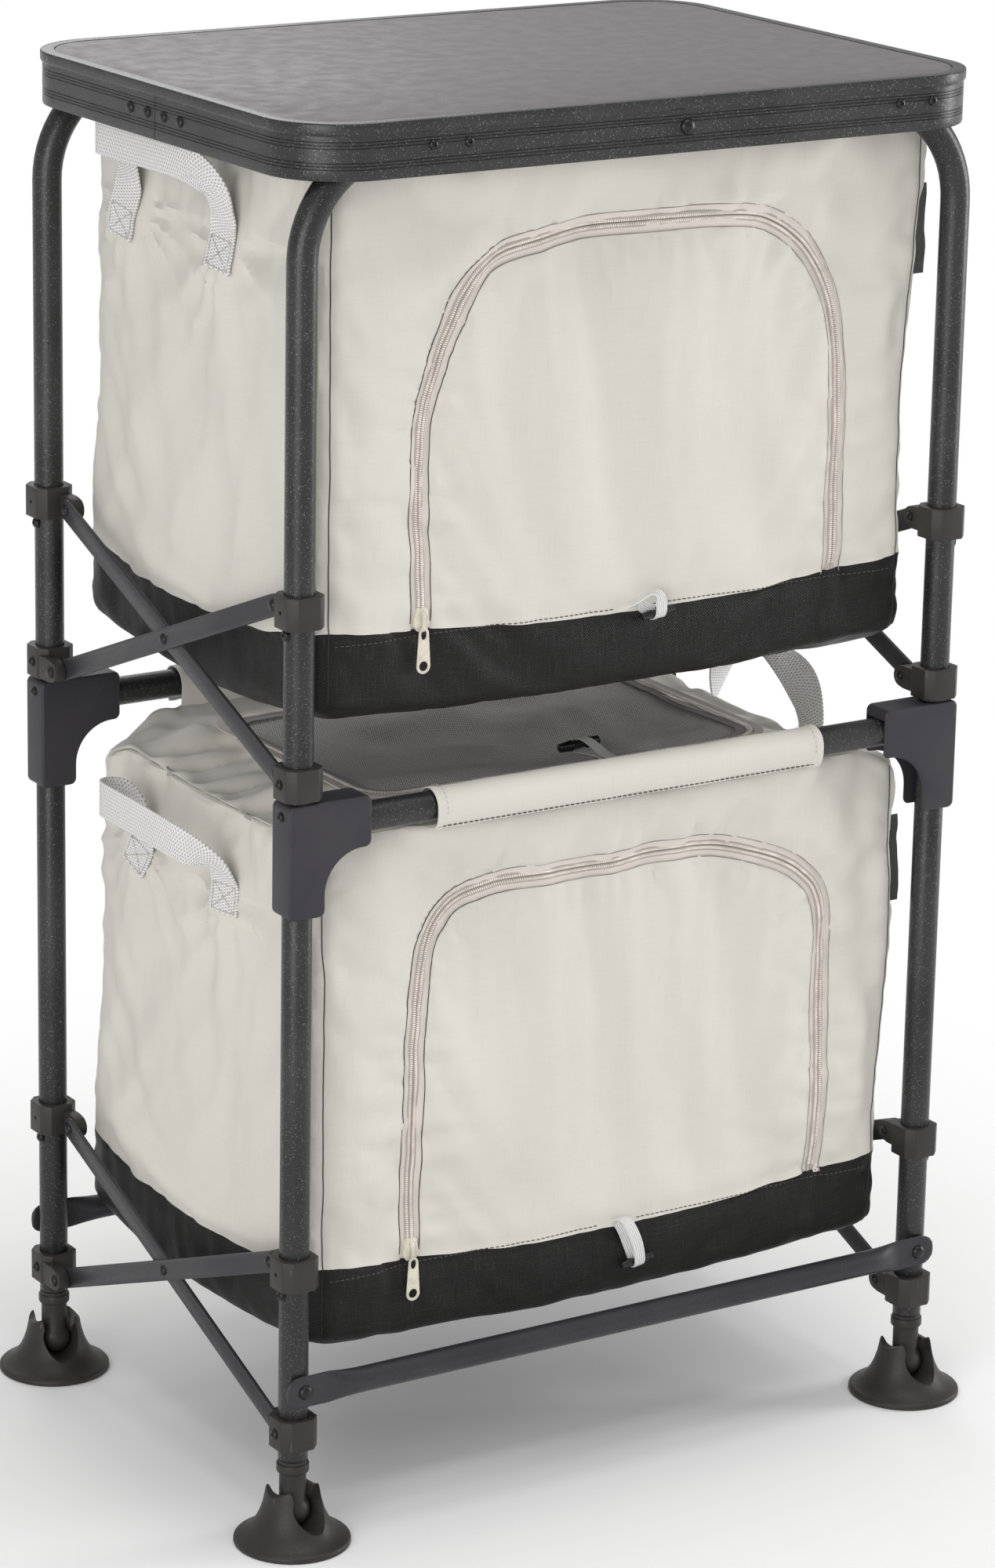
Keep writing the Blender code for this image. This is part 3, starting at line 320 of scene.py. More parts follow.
def noise_node(tree, place, scale, detail):
    links = {"Vector": place, "Scale": scale, "Detail": detail}
    return add_node(tree, "ShaderNodeTexNoise", links).outputs[0]


def stretched(tree, place, scale):
    return add_node(tree, "ShaderNodeMapping", {"Vector": place, "Scale": scale}).outputs[0]


def object_place(tree):
    return add_node(tree, "ShaderNodeTexCoord").outputs["Object"]


def cut_place(tree):
    """The place on a piece's own UV map, which is in metres."""
    return add_node(tree, "ShaderNodeUVMap", uv_map="cut").outputs[0]


def tone(colour, share=1.0):
    """A colour made darker or lighter, with its alpha."""
    return (*(min(1, c * share) for c in colour), 1)


def sparkle_group():
    """Powder coat: a soft orange peel with bright metal flakes in it."""
    tree, source, sink = new_group(
        "Sparkle Coat",
        [("Colour", "NodeSocketColor", (0.04, 0.04, 0.04, 1)), ("Flakes", "NodeSocketFloat", 0.5)],
        [("Colour", "NodeSocketColor"), ("Roughness", "NodeSocketFloat"), ("Height", "NodeSocketFloat")],
    )
    place = object_place(tree)
    peel = noise_node(tree, place, 900.0, 3.0)
    flakes = add_node(tree, "ShaderNodeTexVoronoi", {"Vector": place, "Scale": 1100.0})
    chance = add_node(tree, "ShaderNodeSeparateColor", {"Color": flakes.outputs["Color"]}).outputs[0]
    bright = ramp(tree, chance, 0.78, 0.99, 0.0, 1.0)
    core = ramp(tree, flakes.outputs["Distance"], 0.45, 0.15, 0.0, 1.0)
    flake = math_node(tree, "MULTIPLY", math_node(tree, "MULTIPLY", bright, core), source.outputs["Flakes"])
    cloud = noise_node(tree, place, 14.0, 2.0)
    shade = mix_colour(
        tree, ramp(tree, cloud, 0.3, 0.7, 0.0, 0.35), source.outputs["Colour"], (0.06, 0.06, 0.062, 1)
    )
    colour = mix_colour(tree, flake, shade, (0.55, 0.55, 0.53, 1))
    rough = ramp(tree, peel, 0.3, 0.7, 0.28, 0.42)
    tree.links.new(colour, sink.inputs["Colour"])
    tree.links.new(rough, sink.inputs["Roughness"])
    tree.links.new(math_node(tree, "ADD", peel, flake), sink.inputs["Height"])
    return tree


def moulded_group():
    """Moulded plastic: fine spark-eroded grain, slow shade changes and pale scuffs."""
    tree, source, sink = new_group(
        "Moulded Grain",
        [
            ("Colour", "NodeSocketColor", (0.05, 0.05, 0.05, 1)),
            ("Grain", "NodeSocketFloat", 1400.0),
            ("Scuffs", "NodeSocketFloat", 0.3),
        ],
        [("Colour", "NodeSocketColor"), ("Roughness", "NodeSocketFloat"), ("Height", "NodeSocketFloat")],
    )
    place = object_place(tree)
    grain = noise_node(tree, place, source.outputs["Grain"], 4.0)
    cloud = noise_node(tree, place, 22.0, 5.0)
    streak = noise_node(tree, stretched(tree, place, (260, 260, 60)), 1.0, 2.0)
    lighter = mix_colour(tree, 0.5, source.outputs["Colour"], (0.10, 0.096, 0.09, 1))
    shade = mix_colour(tree, ramp(tree, cloud, 0.35, 0.75, 0.0, 0.22), source.outputs["Colour"], lighter)
    scuff = math_node(tree, "MULTIPLY", ramp(tree, streak, 0.70, 0.82, 0.0, 1.0), source.outputs["Scuffs"])
    tree.links.new(mix_colour(tree, scuff, shade, (0.20, 0.195, 0.185, 1)), sink.inputs["Colour"])
    tree.links.new(ramp(tree, grain, 0.3, 0.7, 0.40, 0.58), sink.inputs["Roughness"])
    tree.links.new(grain, sink.inputs["Height"])
    return tree


def weave_group():
    """Plain weave on the piece's own UV map, which is in metres: threads over and under, with slubs; where
    the thread colour is paler than the cloth, the slubs are painted glints as well.
    """
    tree, source, sink = new_group(
        "Plain Weave",
        [
            ("Colour", "NodeSocketColor", (0.7, 0.7, 0.65, 1)),
            ("Thread Colour", "NodeSocketColor", (0.6, 0.6, 0.55, 1)),
            ("Threads Per Metre", "NodeSocketFloat", 1400.0),
            ("Contrast", "NodeSocketFloat", 0.3),
            ("Mottle", "NodeSocketFloat", 0.2),
        ],
        [("Colour", "NodeSocketColor"), ("Height", "NodeSocketFloat")],
    )
    flat = cut_place(tree)
    axes = add_node(tree, "ShaderNodeSeparateXYZ", {"Vector": flat})
    turns = math_node(tree, "MULTIPLY", source.outputs["Threads Per Metre"], math.pi)
    runs = [math_node(tree, "SINE", math_node(tree, "MULTIPLY", axes.outputs[i], turns)) for i in (0, 1)]
    checks = math_node(tree, "MULTIPLY", *runs)
    height = math_node(tree, "MULTIPLY_ADD", checks, 0.5, 0.5)
    slubs = [
        noise_node(tree, stretched(tree, flat, scale), 1.0, 3.0) for scale in ((1000, 45, 1), (45, 1000, 1))
    ]
    slub = ramp(tree, math_node(tree, "MAXIMUM", *slubs), 0.52, 0.72, 0.0, 1.0)
    mottle = noise_node(tree, flat, 9.0, 4.0)
    woven = mix_colour(
        tree, math_node(tree, "MULTIPLY", height, source.outputs["Contrast"]),
        source.outputs["Colour"], source.outputs["Thread Colour"],
    )
    slubbed = mix_colour(
        tree, math_node(tree, "MULTIPLY", slub, source.outputs["Contrast"]), woven,
        source.outputs["Thread Colour"]
    )
    darker = mix_colour(tree, 0.5, slubbed, (0.5, 0.5, 0.5, 1), "MULTIPLY")
    amount = math_node(tree, "MULTIPLY", ramp(tree, mottle, 0.35, 0.7, 0.0, 1.0), source.outputs["Mottle"])
    tree.links.new(mix_colour(tree, amount, slubbed, darker), sink.inputs["Colour"])
    tree.links.new(math_node(tree, "MULTIPLY_ADD", slub, 0.4, height), sink.inputs["Height"])
    return tree


GROUPS = {}


def use_group(tree, builder, values):
    """One of the shared groups, built once and placed in this material with its own values."""
    if builder not in GROUPS:
        GROUPS[builder] = builder()
    node = tree.nodes.new("ShaderNodeGroup")
    node.node_tree = GROUPS[builder]
    for label, value in values.items():
        node.inputs[label].default_value = value
    return node


def new_material(name, roughness=0.5, metallic=0.0, specular=0.5):
    material = bpy.data.materials.new(name)
    material.use_nodes = True
    shader = material.node_tree.nodes["Principled BSDF"]
    shader.inputs["Roughness"].default_value = roughness
    shader.inputs["Metallic"].default_value = metallic
    shader.inputs["Specular IOR Level"].default_value = specular
    return material, material.node_tree, shader


def bump(tree, shader, height, strength, distance):
    node = add_node(tree, "ShaderNodeBump", {"Height": height, "Strength": strength, "Distance": distance})
    tree.links.new(node.outputs[0], shader.inputs["Normal"])


MATERIALS = {}


def coat_material(name, colour, flakes, metallic=0.35, specular=0.5):
    material, tree, shader = new_material(name, metallic=metallic, specular=specular)
    group = use_group(tree, sparkle_group, {"Colour": tone(colour), "Flakes": flakes})
    tree.links.new(group.outputs["Colour"], shader.inputs["Base Color"])
    tree.links.new(group.outputs["Roughness"], shader.inputs["Roughness"])
    bump(tree, shader, group.outputs["Height"], 0.25, 0.0004)
    return material


def moulded_material(name, colour, grain=1400.0, scuffs=0.3):
    material, tree, shader = new_material(name, specular=0.35)
    group = use_group(tree, moulded_group, {"Colour": tone(colour), "Grain": grain, "Scuffs": scuffs})
    tree.links.new(group.outputs["Colour"], shader.inputs["Base Color"])
    tree.links.new(group.outputs["Roughness"], shader.inputs["Roughness"])
    bump(tree, shader, group.outputs["Height"], 0.2, 0.0003)
    return material


def cloth_material(
    name, colour, fold_shade, threads, contrast, mottle, roughness, strength, sheen=0.0, specular=0.5
):
    material, tree, shader = new_material(name, roughness=roughness, specular=specular)
    shader.inputs["Sheen Weight"].default_value = sheen
    shader.inputs["Sheen Roughness"].default_value = 0.6
    group = use_group(
        tree, weave_group,
        {"Colour": tone(colour), "Thread Colour": tone(fold_shade), "Threads Per Metre": threads,
         "Contrast": contrast, "Mottle": mottle},
    )
    tree.links.new(group.outputs["Colour"], shader.inputs["Base Color"])
    bump(tree, shader, group.outputs["Height"], strength, 0.0003)
    return material


def board_material(colour):
    """Melamine face: a fine cool and warm mottle under a dull lacquer."""
    material, tree, shader = new_material("board face", specular=0.2)
    place = object_place(tree)
    fine = noise_node(tree, place, 800.0, 4.0)
    soft = noise_node(tree, place, 60.0, 5.0)
    lighter = tone([c * 1.12 + 0.004 for c in colour])
    base = mix_colour(tree, ramp(tree, fine, 0.35, 0.65, 0.0, 1.0), tone(colour, 0.90), lighter)
    tint = mix_colour(tree, ramp(tree, soft, 0.4, 0.6, 0.0, 0.3), base, tone(colour))
    tree.links.new(tint, shader.inputs["Base Color"])
    tree.links.new(ramp(tree, soft, 0.3, 0.7, 0.42, 0.56), shader.inputs["Roughness"])
    bump(tree, shader, fine, 0.12, 0.0002)
    return material


def mesh_material(colour):
    """Open mesh on a solid sheet: staggered holes painted dark, as painted shade of the bag's inside seen
    through them, between pale knitted bars.
    """
    material, tree, shader = new_material("mesh cloth", roughness=0.75)
    flat = cut_place(tree)
    axes = add_node(tree, "ShaderNodeSeparateXYZ", {"Vector": stretched(tree, flat, (520, 430, 1))})
    row = math_node(tree, "FLOOR", axes.outputs[1])
    shift = math_node(tree, "MULTIPLY", math_node(tree, "MODULO", row, 2.0), 0.5)
    across = math_node(
        tree, "SUBTRACT", math_node(tree, "FRACT", math_node(tree, "ADD", axes.outputs[0], shift)), 0.5
    )
    along = math_node(tree, "SUBTRACT", math_node(tree, "FRACT", axes.outputs[1]), 0.5)
    reach = math_node(
        tree, "ADD", math_node(tree, "POWER", math_node(tree, "ABSOLUTE", across), 2.0),
        math_node(tree, "POWER", math_node(tree, "ABSOLUTE", along), 2.0),
    )
    hole = ramp(tree, reach, 0.13, 0.05, 0.0, 1.0)
    yarn = noise_node(tree, flat, 700.0, 2.0)
    bars = mix_colour(tree, ramp(tree, yarn, 0.35, 0.65, 0.0, 1.0), tone(colour, 0.72), tone(colour))
    # The holes' dark colour is painted shade, not a colour of the mesh itself.
    tree.links.new(mix_colour(tree, hole, bars, tone(colour, 0.24)), shader.inputs["Base Color"])
    bump(tree, shader, math_node(tree, "SUBTRACT", 1.0, hole), 0.6, 0.0005)
    return material


def ribbed_material(name, colour, ribs, roughness, strength, axis=1, slant=0.8, depth=0.72):
    """A ribbed or twilled tape; the ribs follow one axis of its UV map, crossed at a slant, with painted
    shade in the valleys between them.
    """
    material, tree, shader = new_material(name, roughness=roughness)
    flat = cut_place(tree)
    axes = add_node(tree, "ShaderNodeSeparateXYZ", {"Vector": flat})
    lean = math_node(tree, "MULTIPLY_ADD", axes.outputs[1 - axis], slant, axes.outputs[axis])
    wave = math_node(tree, "SINE", math_node(tree, "MULTIPLY", lean, ribs * 2 * math.pi))
    back = math_node(
        tree, "SUBTRACT", axes.outputs[axis], math_node(tree, "MULTIPLY", axes.outputs[1 - axis], slant)
    )
    cross = math_node(tree, "SINE", math_node(tree, "MULTIPLY", back, ribs * 2 * math.pi))
    height = math_node(tree, "MULTIPLY_ADD", math_node(tree, "MAXIMUM", wave, cross), 0.5, 0.5)
    # depth is the share of the colour left in the rib valleys: painted shade between the ribs.
    tree.links.new(mix_colour(tree, height, tone(colour, depth), tone(colour)), shader.inputs["Base Color"])
    bump(tree, shader, height, strength, 0.0006)
    return material


def plain_material(name, colour, roughness, metallic=0.0):
    """A small hard fitting: one colour, clouded a little, with a fine grain."""
    material, tree, shader = new_material(name, metallic=metallic)
    place = object_place(tree)
    fine = noise_node(tree, place, 900.0, 3.0)
    cloud = noise_node(tree, place, 90.0, 3.0)
    clouded = mix_colour(tree, ramp(tree, cloud, 0.35, 0.65, 0.0, 1.0), tone(colour, 0.8), tone(colour))
    tree.links.new(clouded, shader.inputs["Base Color"])
    tree.links.new(ramp(tree, fine, 0.3, 0.7, roughness - 0.06, roughness + 0.08), shader.inputs["Roughness"])
    bump(tree, shader, fine, 0.1, 0.0002)
    return material


def fold_shade_material(shaded, open_colour):
    """Painted shade along the folded edge beside a zip: deep at the left and nearly as pale as the cloth
    elsewhere.
    """
    material, tree, shader = new_material("zip fold", roughness=0.8)
    place = object_place(tree)
    across = add_node(tree, "ShaderNodeSeparateXYZ", {"Vector": place}).outputs[0]
    share = ramp(tree, math_node(tree, "ADD", across, 0.3), 0.13, 0.24, 0.0, 1.0)
    uneven = noise_node(tree, place, 45.0, 2.0)
    amount = math_node(tree, "MULTIPLY", share, ramp(tree, uneven, 0.35, 0.6, 0.55, 1.0))
    tree.links.new(mix_colour(tree, amount, tone(shaded), tone(open_colour)), shader.inputs["Base Color"])
    return material


def make_materials(scene):
    tubes, table = scene.cupboard_tubes, scene.cupboard_table
    fittings, fabric = scene.cupboard_fittings, scene.cupboard_fabric
    cloth, zip_tape = fabric.cloth_colour, fabric.zip_colour
    cloth_look = (cloth, tone(cloth, 0.86)[:3], 1500, 0.35, 0.12, 0.72, 0.10, 0.15)
    MATERIALS.update({
        "tube": coat_material("tube powder coat", tubes.colour, tubes.sparkle),
        "rim": coat_material("rim powder coat", (0.024, 0.024, 0.025), 0.7),
        "bar": coat_material("bar powder coat", (0.028, 0.027, 0.031), 0.1, metallic=0.1, specular=0.3),
        "board": board_material(table.colour),
        "collar": moulded_material("collar plastic", fittings.collar_colour, scuffs=0.5),
        "gusset": moulded_material("gusset plastic", fittings.gusset_colour, grain=1900.0, scuffs=0.12),
        "foot": moulded_material("foot plastic", fittings.foot_colour, grain=1000.0, scuffs=0.35),
        "screw": plain_material("black screw", (0.012, 0.012, 0.013), 0.3, metallic=0.3),
        "cloth": cloth_material("padded cloth", *cloth_look),
        "lining": cloth_material(
            "lining cloth", (0.42, 0.415, 0.40), (0.33, 0.325, 0.315), 1300, 0.5, 0.3, 0.8, 0.2
        ),
        # The band's threads are far paler than the band: paler threads, and painted glints along the weave
        # and slubs.
        "band": cloth_material(
            "coated band", fabric.band_colour, (0.027, 0.026, 0.025), 900, 0.75, 0.3, 0.40, 1.0, specular=0.16
        ),
        "mesh": mesh_material(fabric.mesh_colour),
        "webbing": ribbed_material(
            "webbing", (0.84, 0.83, 0.82), 410, 0.7, 1.0, axis=0, slant=0.45, depth=0.46
        ),
        "tape": ribbed_material("zip tape", zip_tape, 900, 0.75, 0.3),
        "grey_tape": ribbed_material("grey tape", (0.42, 0.40, 0.39), 900, 0.75, 0.3),
        "sleeve": cloth_material("sleeve cloth", *cloth_look),
        # A darker copy of the zip tape: painted shade between the coil's turns.
        "coil_painted_shade": ribbed_material("coil painted shade", tone(zip_tape, 0.62)[:3], 900, 0.75, 0.3),
        # Painted shade along the zips' folded edges, deep at the left and pale elsewhere.
        "fold": fold_shade_material((0.040, 0.037, 0.035), (0.36, 0.34, 0.31)),
        "coil": plain_material("zip coil", tone(zip_tape, 1.22)[:3], 0.38),
        "enamel": plain_material("slider enamel", (0.70, 0.655, 0.55), 0.28),
        "fold_shade": plain_material("dark thread", (0.035, 0.033, 0.032), 0.8),
        # Brown thread: real stitches on the band, and painted shade along the top seams and under the
        # sleeves' hems.
        "brown_thread_and_shade": plain_material("brown thread and shade", (0.085, 0.078, 0.068), 0.8),
        "pale_thread": plain_material("pale thread", (0.50, 0.47, 0.43), 0.8),
        "tag": cloth_material(
            "black tag", (0.012, 0.012, 0.013), (0.05, 0.05, 0.05), 2200, 0.5, 0.2, 0.6, 0.3
        ),
        "toggle": plain_material("toggle plastic", (0.012, 0.012, 0.013), 0.28),
        "elastic": ribbed_material("elastic", (0.84, 0.84, 0.83), 560, 0.65, 0.9, slant=0.0, depth=0.66),
    })


# Modelling helpers


def placed(name, data):
    """A new object with this data, in the scene."""
    obj = bpy.data.objects.new(name, data)
    bpy.context.scene.collection.objects.link(obj)
    return obj


def to_mesh(bm, name):
    """The mesh of a bmesh, which is freed."""
    mesh = bpy.data.meshes.new(name)
    bm.to_mesh(mesh)
    bm.free()
    return mesh


def finish_piece(bm, name, material, body, replaces, sharp=35, clean=True):
    """Turns a bmesh into a finished piece that rides on a body."""
    if clean:
        bmesh.ops.remove_doubles(bm, verts=bm.verts, dist=1e-6)
        bm.normal_update()
        bmesh.ops.recalc_face_normals(bm, faces=bm.faces)
    return finish_mesh(to_mesh(bm, name), name, [material], body, replaces, sharp)


def finish_mesh(mesh, name, materials, body, replaces, sharp=35):
    for key in materials:
        mesh.materials.append(MATERIALS[key])
    mesh.shade_smooth()
    mesh.set_sharp_from_angle(angle=math.radians(sharp))
    obj = placed(name, mesh)
    if replaces:
        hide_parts(*replaces)
    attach(obj, body)
    return obj


def applied(mesh, modifiers):
    """The mesh after modifiers, given as (type, settings)."""
    obj = placed("worked", mesh)
    for kind, settings in modifiers:
        modifier = obj.modifiers.new(kind.lower(), kind)
        for key, value in settings.items():
            setattr(modifier, key, value)
    bpy.context.view_layer.update()
    graph = bpy.context.evaluated_depsgraph_get()
    result = bpy.data.meshes.new_from_object(obj.evaluated_get(graph))
    bpy.data.objects.remove(obj)
    return result


def joined(bm, *booleans):
    """A bmesh after Boolean steps, each an operation and a bmesh; the others are freed."""
    mesh = to_mesh(bm, "worked")
    steps = []
    for operation, other in booleans:
        bmesh.ops.recalc_face_normals(other, faces=other.faces)
        cutter = placed("cutter", to_mesh(other, "cutter"))
        steps.append(("BOOLEAN", {"operation": operation, "object": cutter, "solver": "EXACT"}))
    out = bmesh.new()
    out.from_mesh(applied(mesh, steps))
    for _, settings in steps:
        bpy.data.objects.remove(settings["object"])
    return out


def basis(*axes):
    """The rotation that has these directions as its X, Y and Z."""
    return Matrix(axes).transposed().to_4x4()


def facing(direction):
    """A rotation that turns Z to a direction."""
    return Vector(direction).to_track_quat("Z", "Y").to_matrix().to_4x4()


def heading(points, i):
    """The direction of a line of points at one of them."""
    return (points[min(i + 1, len(points) - 1)] - points[max(i - 1, 0)]).normalized()


def box_into(bm, low, high):
    low, high = Vector(low), Vector(high)
    place = Matrix.Translation((low + high) / 2) @ Matrix.Diagonal((*(high - low), 1))
    bmesh.ops.create_cube(bm, size=1.0, matrix=place)


def rod_into(bm, start, end, radius, sides=32, end_radius=None):
    start, end = Vector(start), Vector(end)
    bmesh.ops.create_cone(
        bm, cap_ends=True, segments=sides, radius1=radius,
        radius2=radius if end_radius is None else end_radius,
        depth=(end - start).length, matrix=Matrix.Translation((start + end) / 2) @ facing(end - start),
    )


def rectangle(x, y, half_x, half_y):
    return [
        (x - half_x, y - half_y), (x + half_x, y - half_y), (x + half_x, y + half_y), (x - half_x, y + half_y)
    ]


def flat_face(bm, corners, axis, level):
    """Adds a face across an axis, from corners given in the other two axes, and returns its vertices."""
    index = "XYZ".index(axis)
    verts = []
    for pair in corners:
        place = list(pair)
        place.insert(index, level)
        verts.append(bm.verts.new(place))
    bm.faces.new(verts)
    return verts


def round_corners(bm, corners, radius, segments):
    """Rounds these corner vertices of a flat face."""
    bmesh.ops.bevel(
        bm, geom=list(corners), offset=radius, offset_type="OFFSET", affect="VERTICES",
        segments=segments, profile=0.5, material=-1,
    )


def extrude_faces(bm, shift):
    """Makes flat faces into a solid."""
    made = bmesh.ops.extrude_face_region(bm, geom=bm.faces[:])
    bmesh.ops.translate(bm, verts=[g for g in made["geom"] if isinstance(g, bmesh.types.BMVert)], vec=shift)


def keep_hull(bm):
    """Leaves only the convex hull of the points, as a closed shell."""
    points = [v.co.copy() for v in bm.verts]
    bm.clear()
    for point in points:
        bm.verts.new(point)
    bmesh.ops.remove_doubles(bm, verts=bm.verts, dist=1e-6)
    bmesh.ops.convex_hull(bm, input=bm.verts)
    bmesh.ops.delete(bm, geom=[v for v in bm.verts if not v.link_faces], context="VERTS")
    bmesh.ops.recalc_face_normals(bm, faces=bm.faces)
    bmesh.ops.dissolve_limit(bm, angle_limit=0.01, verts=bm.verts, edges=bm.edges)


def soften_edges(bm, radius, segments, least=40):
    """Rounds every edge that turns by more than the least angle."""
    bm.normal_update()
    edges = [e for e in bm.edges if len(e.link_faces) == 2 and e.calc_face_angle(0) > math.radians(least)]
    bmesh.ops.bevel(
        bm, geom=edges, offset=radius, offset_type="OFFSET", affect="EDGES", segments=segments,
        profile=0.5, material=-1, clamp_overlap=True,
    )


def extrude_ring(bm, edges):
    """Extrudes a row of edges in place, and returns the new vertices and edges."""
    made = bmesh.ops.extrude_edge_only(bm, edges=edges)["geom"]
    verts = [g for g in made if isinstance(g, bmesh.types.BMVert)]
    new = set(verts)
    return verts, [g for g in made if isinstance(g, bmesh.types.BMEdge) and new.issuperset(g.verts)]


def sweep(bm, edges, frames, close=False):
    """Extrudes an edge ring, which lies in the first frame, through the others."""
    first = edges
    for before, after in zip(frames, frames[1:]):
        verts, edges = extrude_ring(bm, edges)
        bmesh.ops.transform(bm, matrix=after @ before.inverted(), verts=verts)
    if not close:
        bmesh.ops.edgeloop_fill(bm, edges=first)
        bmesh.ops.edgeloop_fill(bm, edges=edges)


def ring_at(bm, matrix, radius, sides):
    made = bmesh.ops.create_circle(bm, cap_ends=False, segments=sides, radius=radius, matrix=matrix)
    ring = set(made["verts"])
    return [e for e in bm.edges if e.verts[0] in ring and e.verts[1] in ring]


def path_frames(points, up, scales=None):
    """Frames along a path, with Z along it and X across up."""
    points = [Vector(p) for p in points]
    frames = []
    for i, point in enumerate(points):
        along = heading(points, i)
        side = Vector(up).cross(along).normalized()
        scale = scales[i] if scales else (1, 1)
        turn = basis(side, along.cross(side), along)
        frames.append(Matrix.Translation(point) @ turn @ Matrix.Diagonal((*scale, 1, 1)))
    return frames


def thread_into(bm, points, up, radius, sides):
    """Adds a thread along points."""
    frames = path_frames(points, up)
    sweep(bm, ring_at(bm, frames[0], radius, sides), frames)


def arc_points(centre, radius, start, end, steps):
    angles = [math.radians(start + (end - start) * i / steps) for i in range(steps + 1)]
    return [(centre[0] + radius * math.cos(a), centre[1] + radius * math.sin(a)) for a in angles]


def lathe(bm, profile, steps, matrix=None):
    """A closed turned shape from (radius, height) points, with its two ends on the axis."""
    verts = [bm.verts.new((radius, 0, height)) for radius, height in profile]
    edges = [bm.edges.new(pair) for pair in zip(verts, verts[1:])]
    bmesh.ops.spin(
        bm, geom=verts + edges, cent=(0, 0, 0), axis=(0, 0, 1), angle=2 * math.pi, steps=steps, use_merge=True
    )
    bmesh.ops.remove_doubles(bm, verts=bm.verts, dist=1e-7)
    if matrix:
        bmesh.ops.transform(bm, matrix=matrix, verts=bm.verts)


SCREWS = {}


def screw_template(recessed):
    """A domed screw or rivet head of unit radius on the XY plane; each kind is made once."""
    if recessed not in SCREWS:
        bm = bmesh.new()
        profile = [
            (0, 0.62), (0.3, 0.60), (0.6, 0.51), (0.84, 0.34), (0.96, 0.16), (1.0, 0.0), (1.0, -0.35),
            (0, -0.35),
        ]
        lathe(bm, profile, 24)
        if recessed:
            for half_x, half_y in ((0.42, 0.1), (0.1, 0.42)):
                cutter = bmesh.new()
                box_into(cutter, (-half_x, -half_y, 0.3), (half_x, half_y, 0.9))
                bm = joined(bm, ("DIFFERENCE", cutter))
        bmesh.ops.recalc_face_normals(bm, faces=bm.faces)
        SCREWS[recessed] = to_mesh(bm, "screw")
    return SCREWS[recessed]


def copy_into(bm, shape, place):
    """Adds a copy of a mesh, moved by a matrix."""
    before = set(bm.verts)
    bm.from_mesh(shape)
    bmesh.ops.transform(bm, matrix=place, verts=[v for v in bm.verts if v not in before])


def screw_into(bm, place, normal, radius, recessed=True, spin=20):
    """Adds a screw head that stands on place and faces along normal."""
    turn = facing(normal) @ Matrix.Rotation(math.radians(spin), 4, "Z")
    copy_into(bm, screw_template(recessed), Matrix.Translation(place) @ turn @ Matrix.Scale(radius, 4))


def repeat_into(bm, shape, places):
    """Adds a copy of a small mesh at each place, in batches so that long rows stay quick."""
    for start in range(0, len(places), 40):
        batch = bmesh.new()
        for place in places[start:start + 40]:
            copy_into(batch, shape, place)
        mesh = to_mesh(batch, "batch")
        bm.from_mesh(mesh)
        bpy.data.meshes.remove(mesh)


def tooth_shape(length, width, height):
    """One turn of a zip's coil: a small rounded bar along X, with Y as its height."""
    bm = bmesh.new()
    turn = Matrix.Diagonal((length / 2, height / 2, width / 2, 1)) @ Matrix.Rotation(math.pi / 2, 4, "Y")
    bmesh.ops.create_uvsphere(bm, u_segments=6, v_segments=4, radius=1.0, matrix=turn)
    return to_mesh(bm, "tooth")


def ease(value, start, end):
    share = np.clip((value - start) / (end - start), 0, 1)
    return share * share * (3 - 2 * share)


def waves(points, scale, seed):
    """Soft noise between about -1 and 1 at each point, for blobs of the given size."""
    shift = Vector((seed * 17.3, seed * 5.1, seed * 9.7))
    return np.array([smooth_noise(Vector(p) / scale + shift) for p in points])


def puffs(points, scale, seed):
    """Rounded bulges with sharp creases between them, from about -0.5 to 1."""
    return 2.6 * np.abs(waves(points, scale, seed)) - 0.5


def smooth_line(corners, spacing):
    """Points at even spacing on a smooth curve through the corners."""
    given = [Vector(c) for c in corners]
    given = [2 * given[0] - given[1], *given, 2 * given[-1] - given[-2]]
    dense = []
    for a, b, c, d in zip(given, given[1:], given[2:], given[3:]):
        for i in range(24):
            t = i / 24
            square, cube = 2 * a - 5 * b + 4 * c - d, 3 * b - a - 3 * c + d
            dense.append(0.5 * (2 * b + (c - a) * t + square * t * t + cube * t ** 3))
    dense.append(given[-2])
    walked = [0.0]
    for before, after in zip(dense, dense[1:]):
        walked.append(walked[-1] + (after - before).length)
    count = max(2, round(walked[-1] / spacing))
    targets = np.linspace(0, walked[-1], count + 1)
    columns = [np.interp(targets, walked, [p[i] for p in dense]) for i in range(len(given[0]))]
    return [Vector(row) for row in zip(*columns)]


def to_line(points, line):
    """For each 2-D point: its distance to a line, the line's length up to there, and which side it is on."""
    line = np.array([tuple(p) for p in line])
    starts, steps = line[:-1], line[1:] - line[:-1]
    lengths = np.linalg.norm(steps, axis=1)
    walked = np.concatenate([[0], np.cumsum(lengths)[:-1]])
    best = np.full(len(points), 1e9)
    along, side = np.zeros(len(points)), np.zeros(len(points))
    for start, step, length, before in zip(starts, steps, lengths, walked):
        offset = points - start
        share = np.clip(offset @ step / length ** 2, 0, 1)
        gap = offset - share[:, None] * step
        distance = np.linalg.norm(gap, axis=1)
        closer = distance < best
        best[closer] = distance[closer]
        along[closer] = before + share[closer] * length
        side[closer] = np.sign(step[0] * offset[closer, 1] - step[1] * offset[closer, 0])
    return best, along, side


def vectors(data, name):
    flat = np.empty(len(data) * 3)
    data.foreach_get(name, flat)
    return flat.reshape(-1, 3)


def mesh_points(mesh):
    return vectors(mesh.vertices, "co")


def mesh_normals(mesh):
    return vectors(mesh.vertex_normals, "vector")


def move_points(mesh, points):
    mesh.vertices.foreach_set("co", np.ascontiguousarray(points, dtype=np.float32).ravel())
    mesh.update()


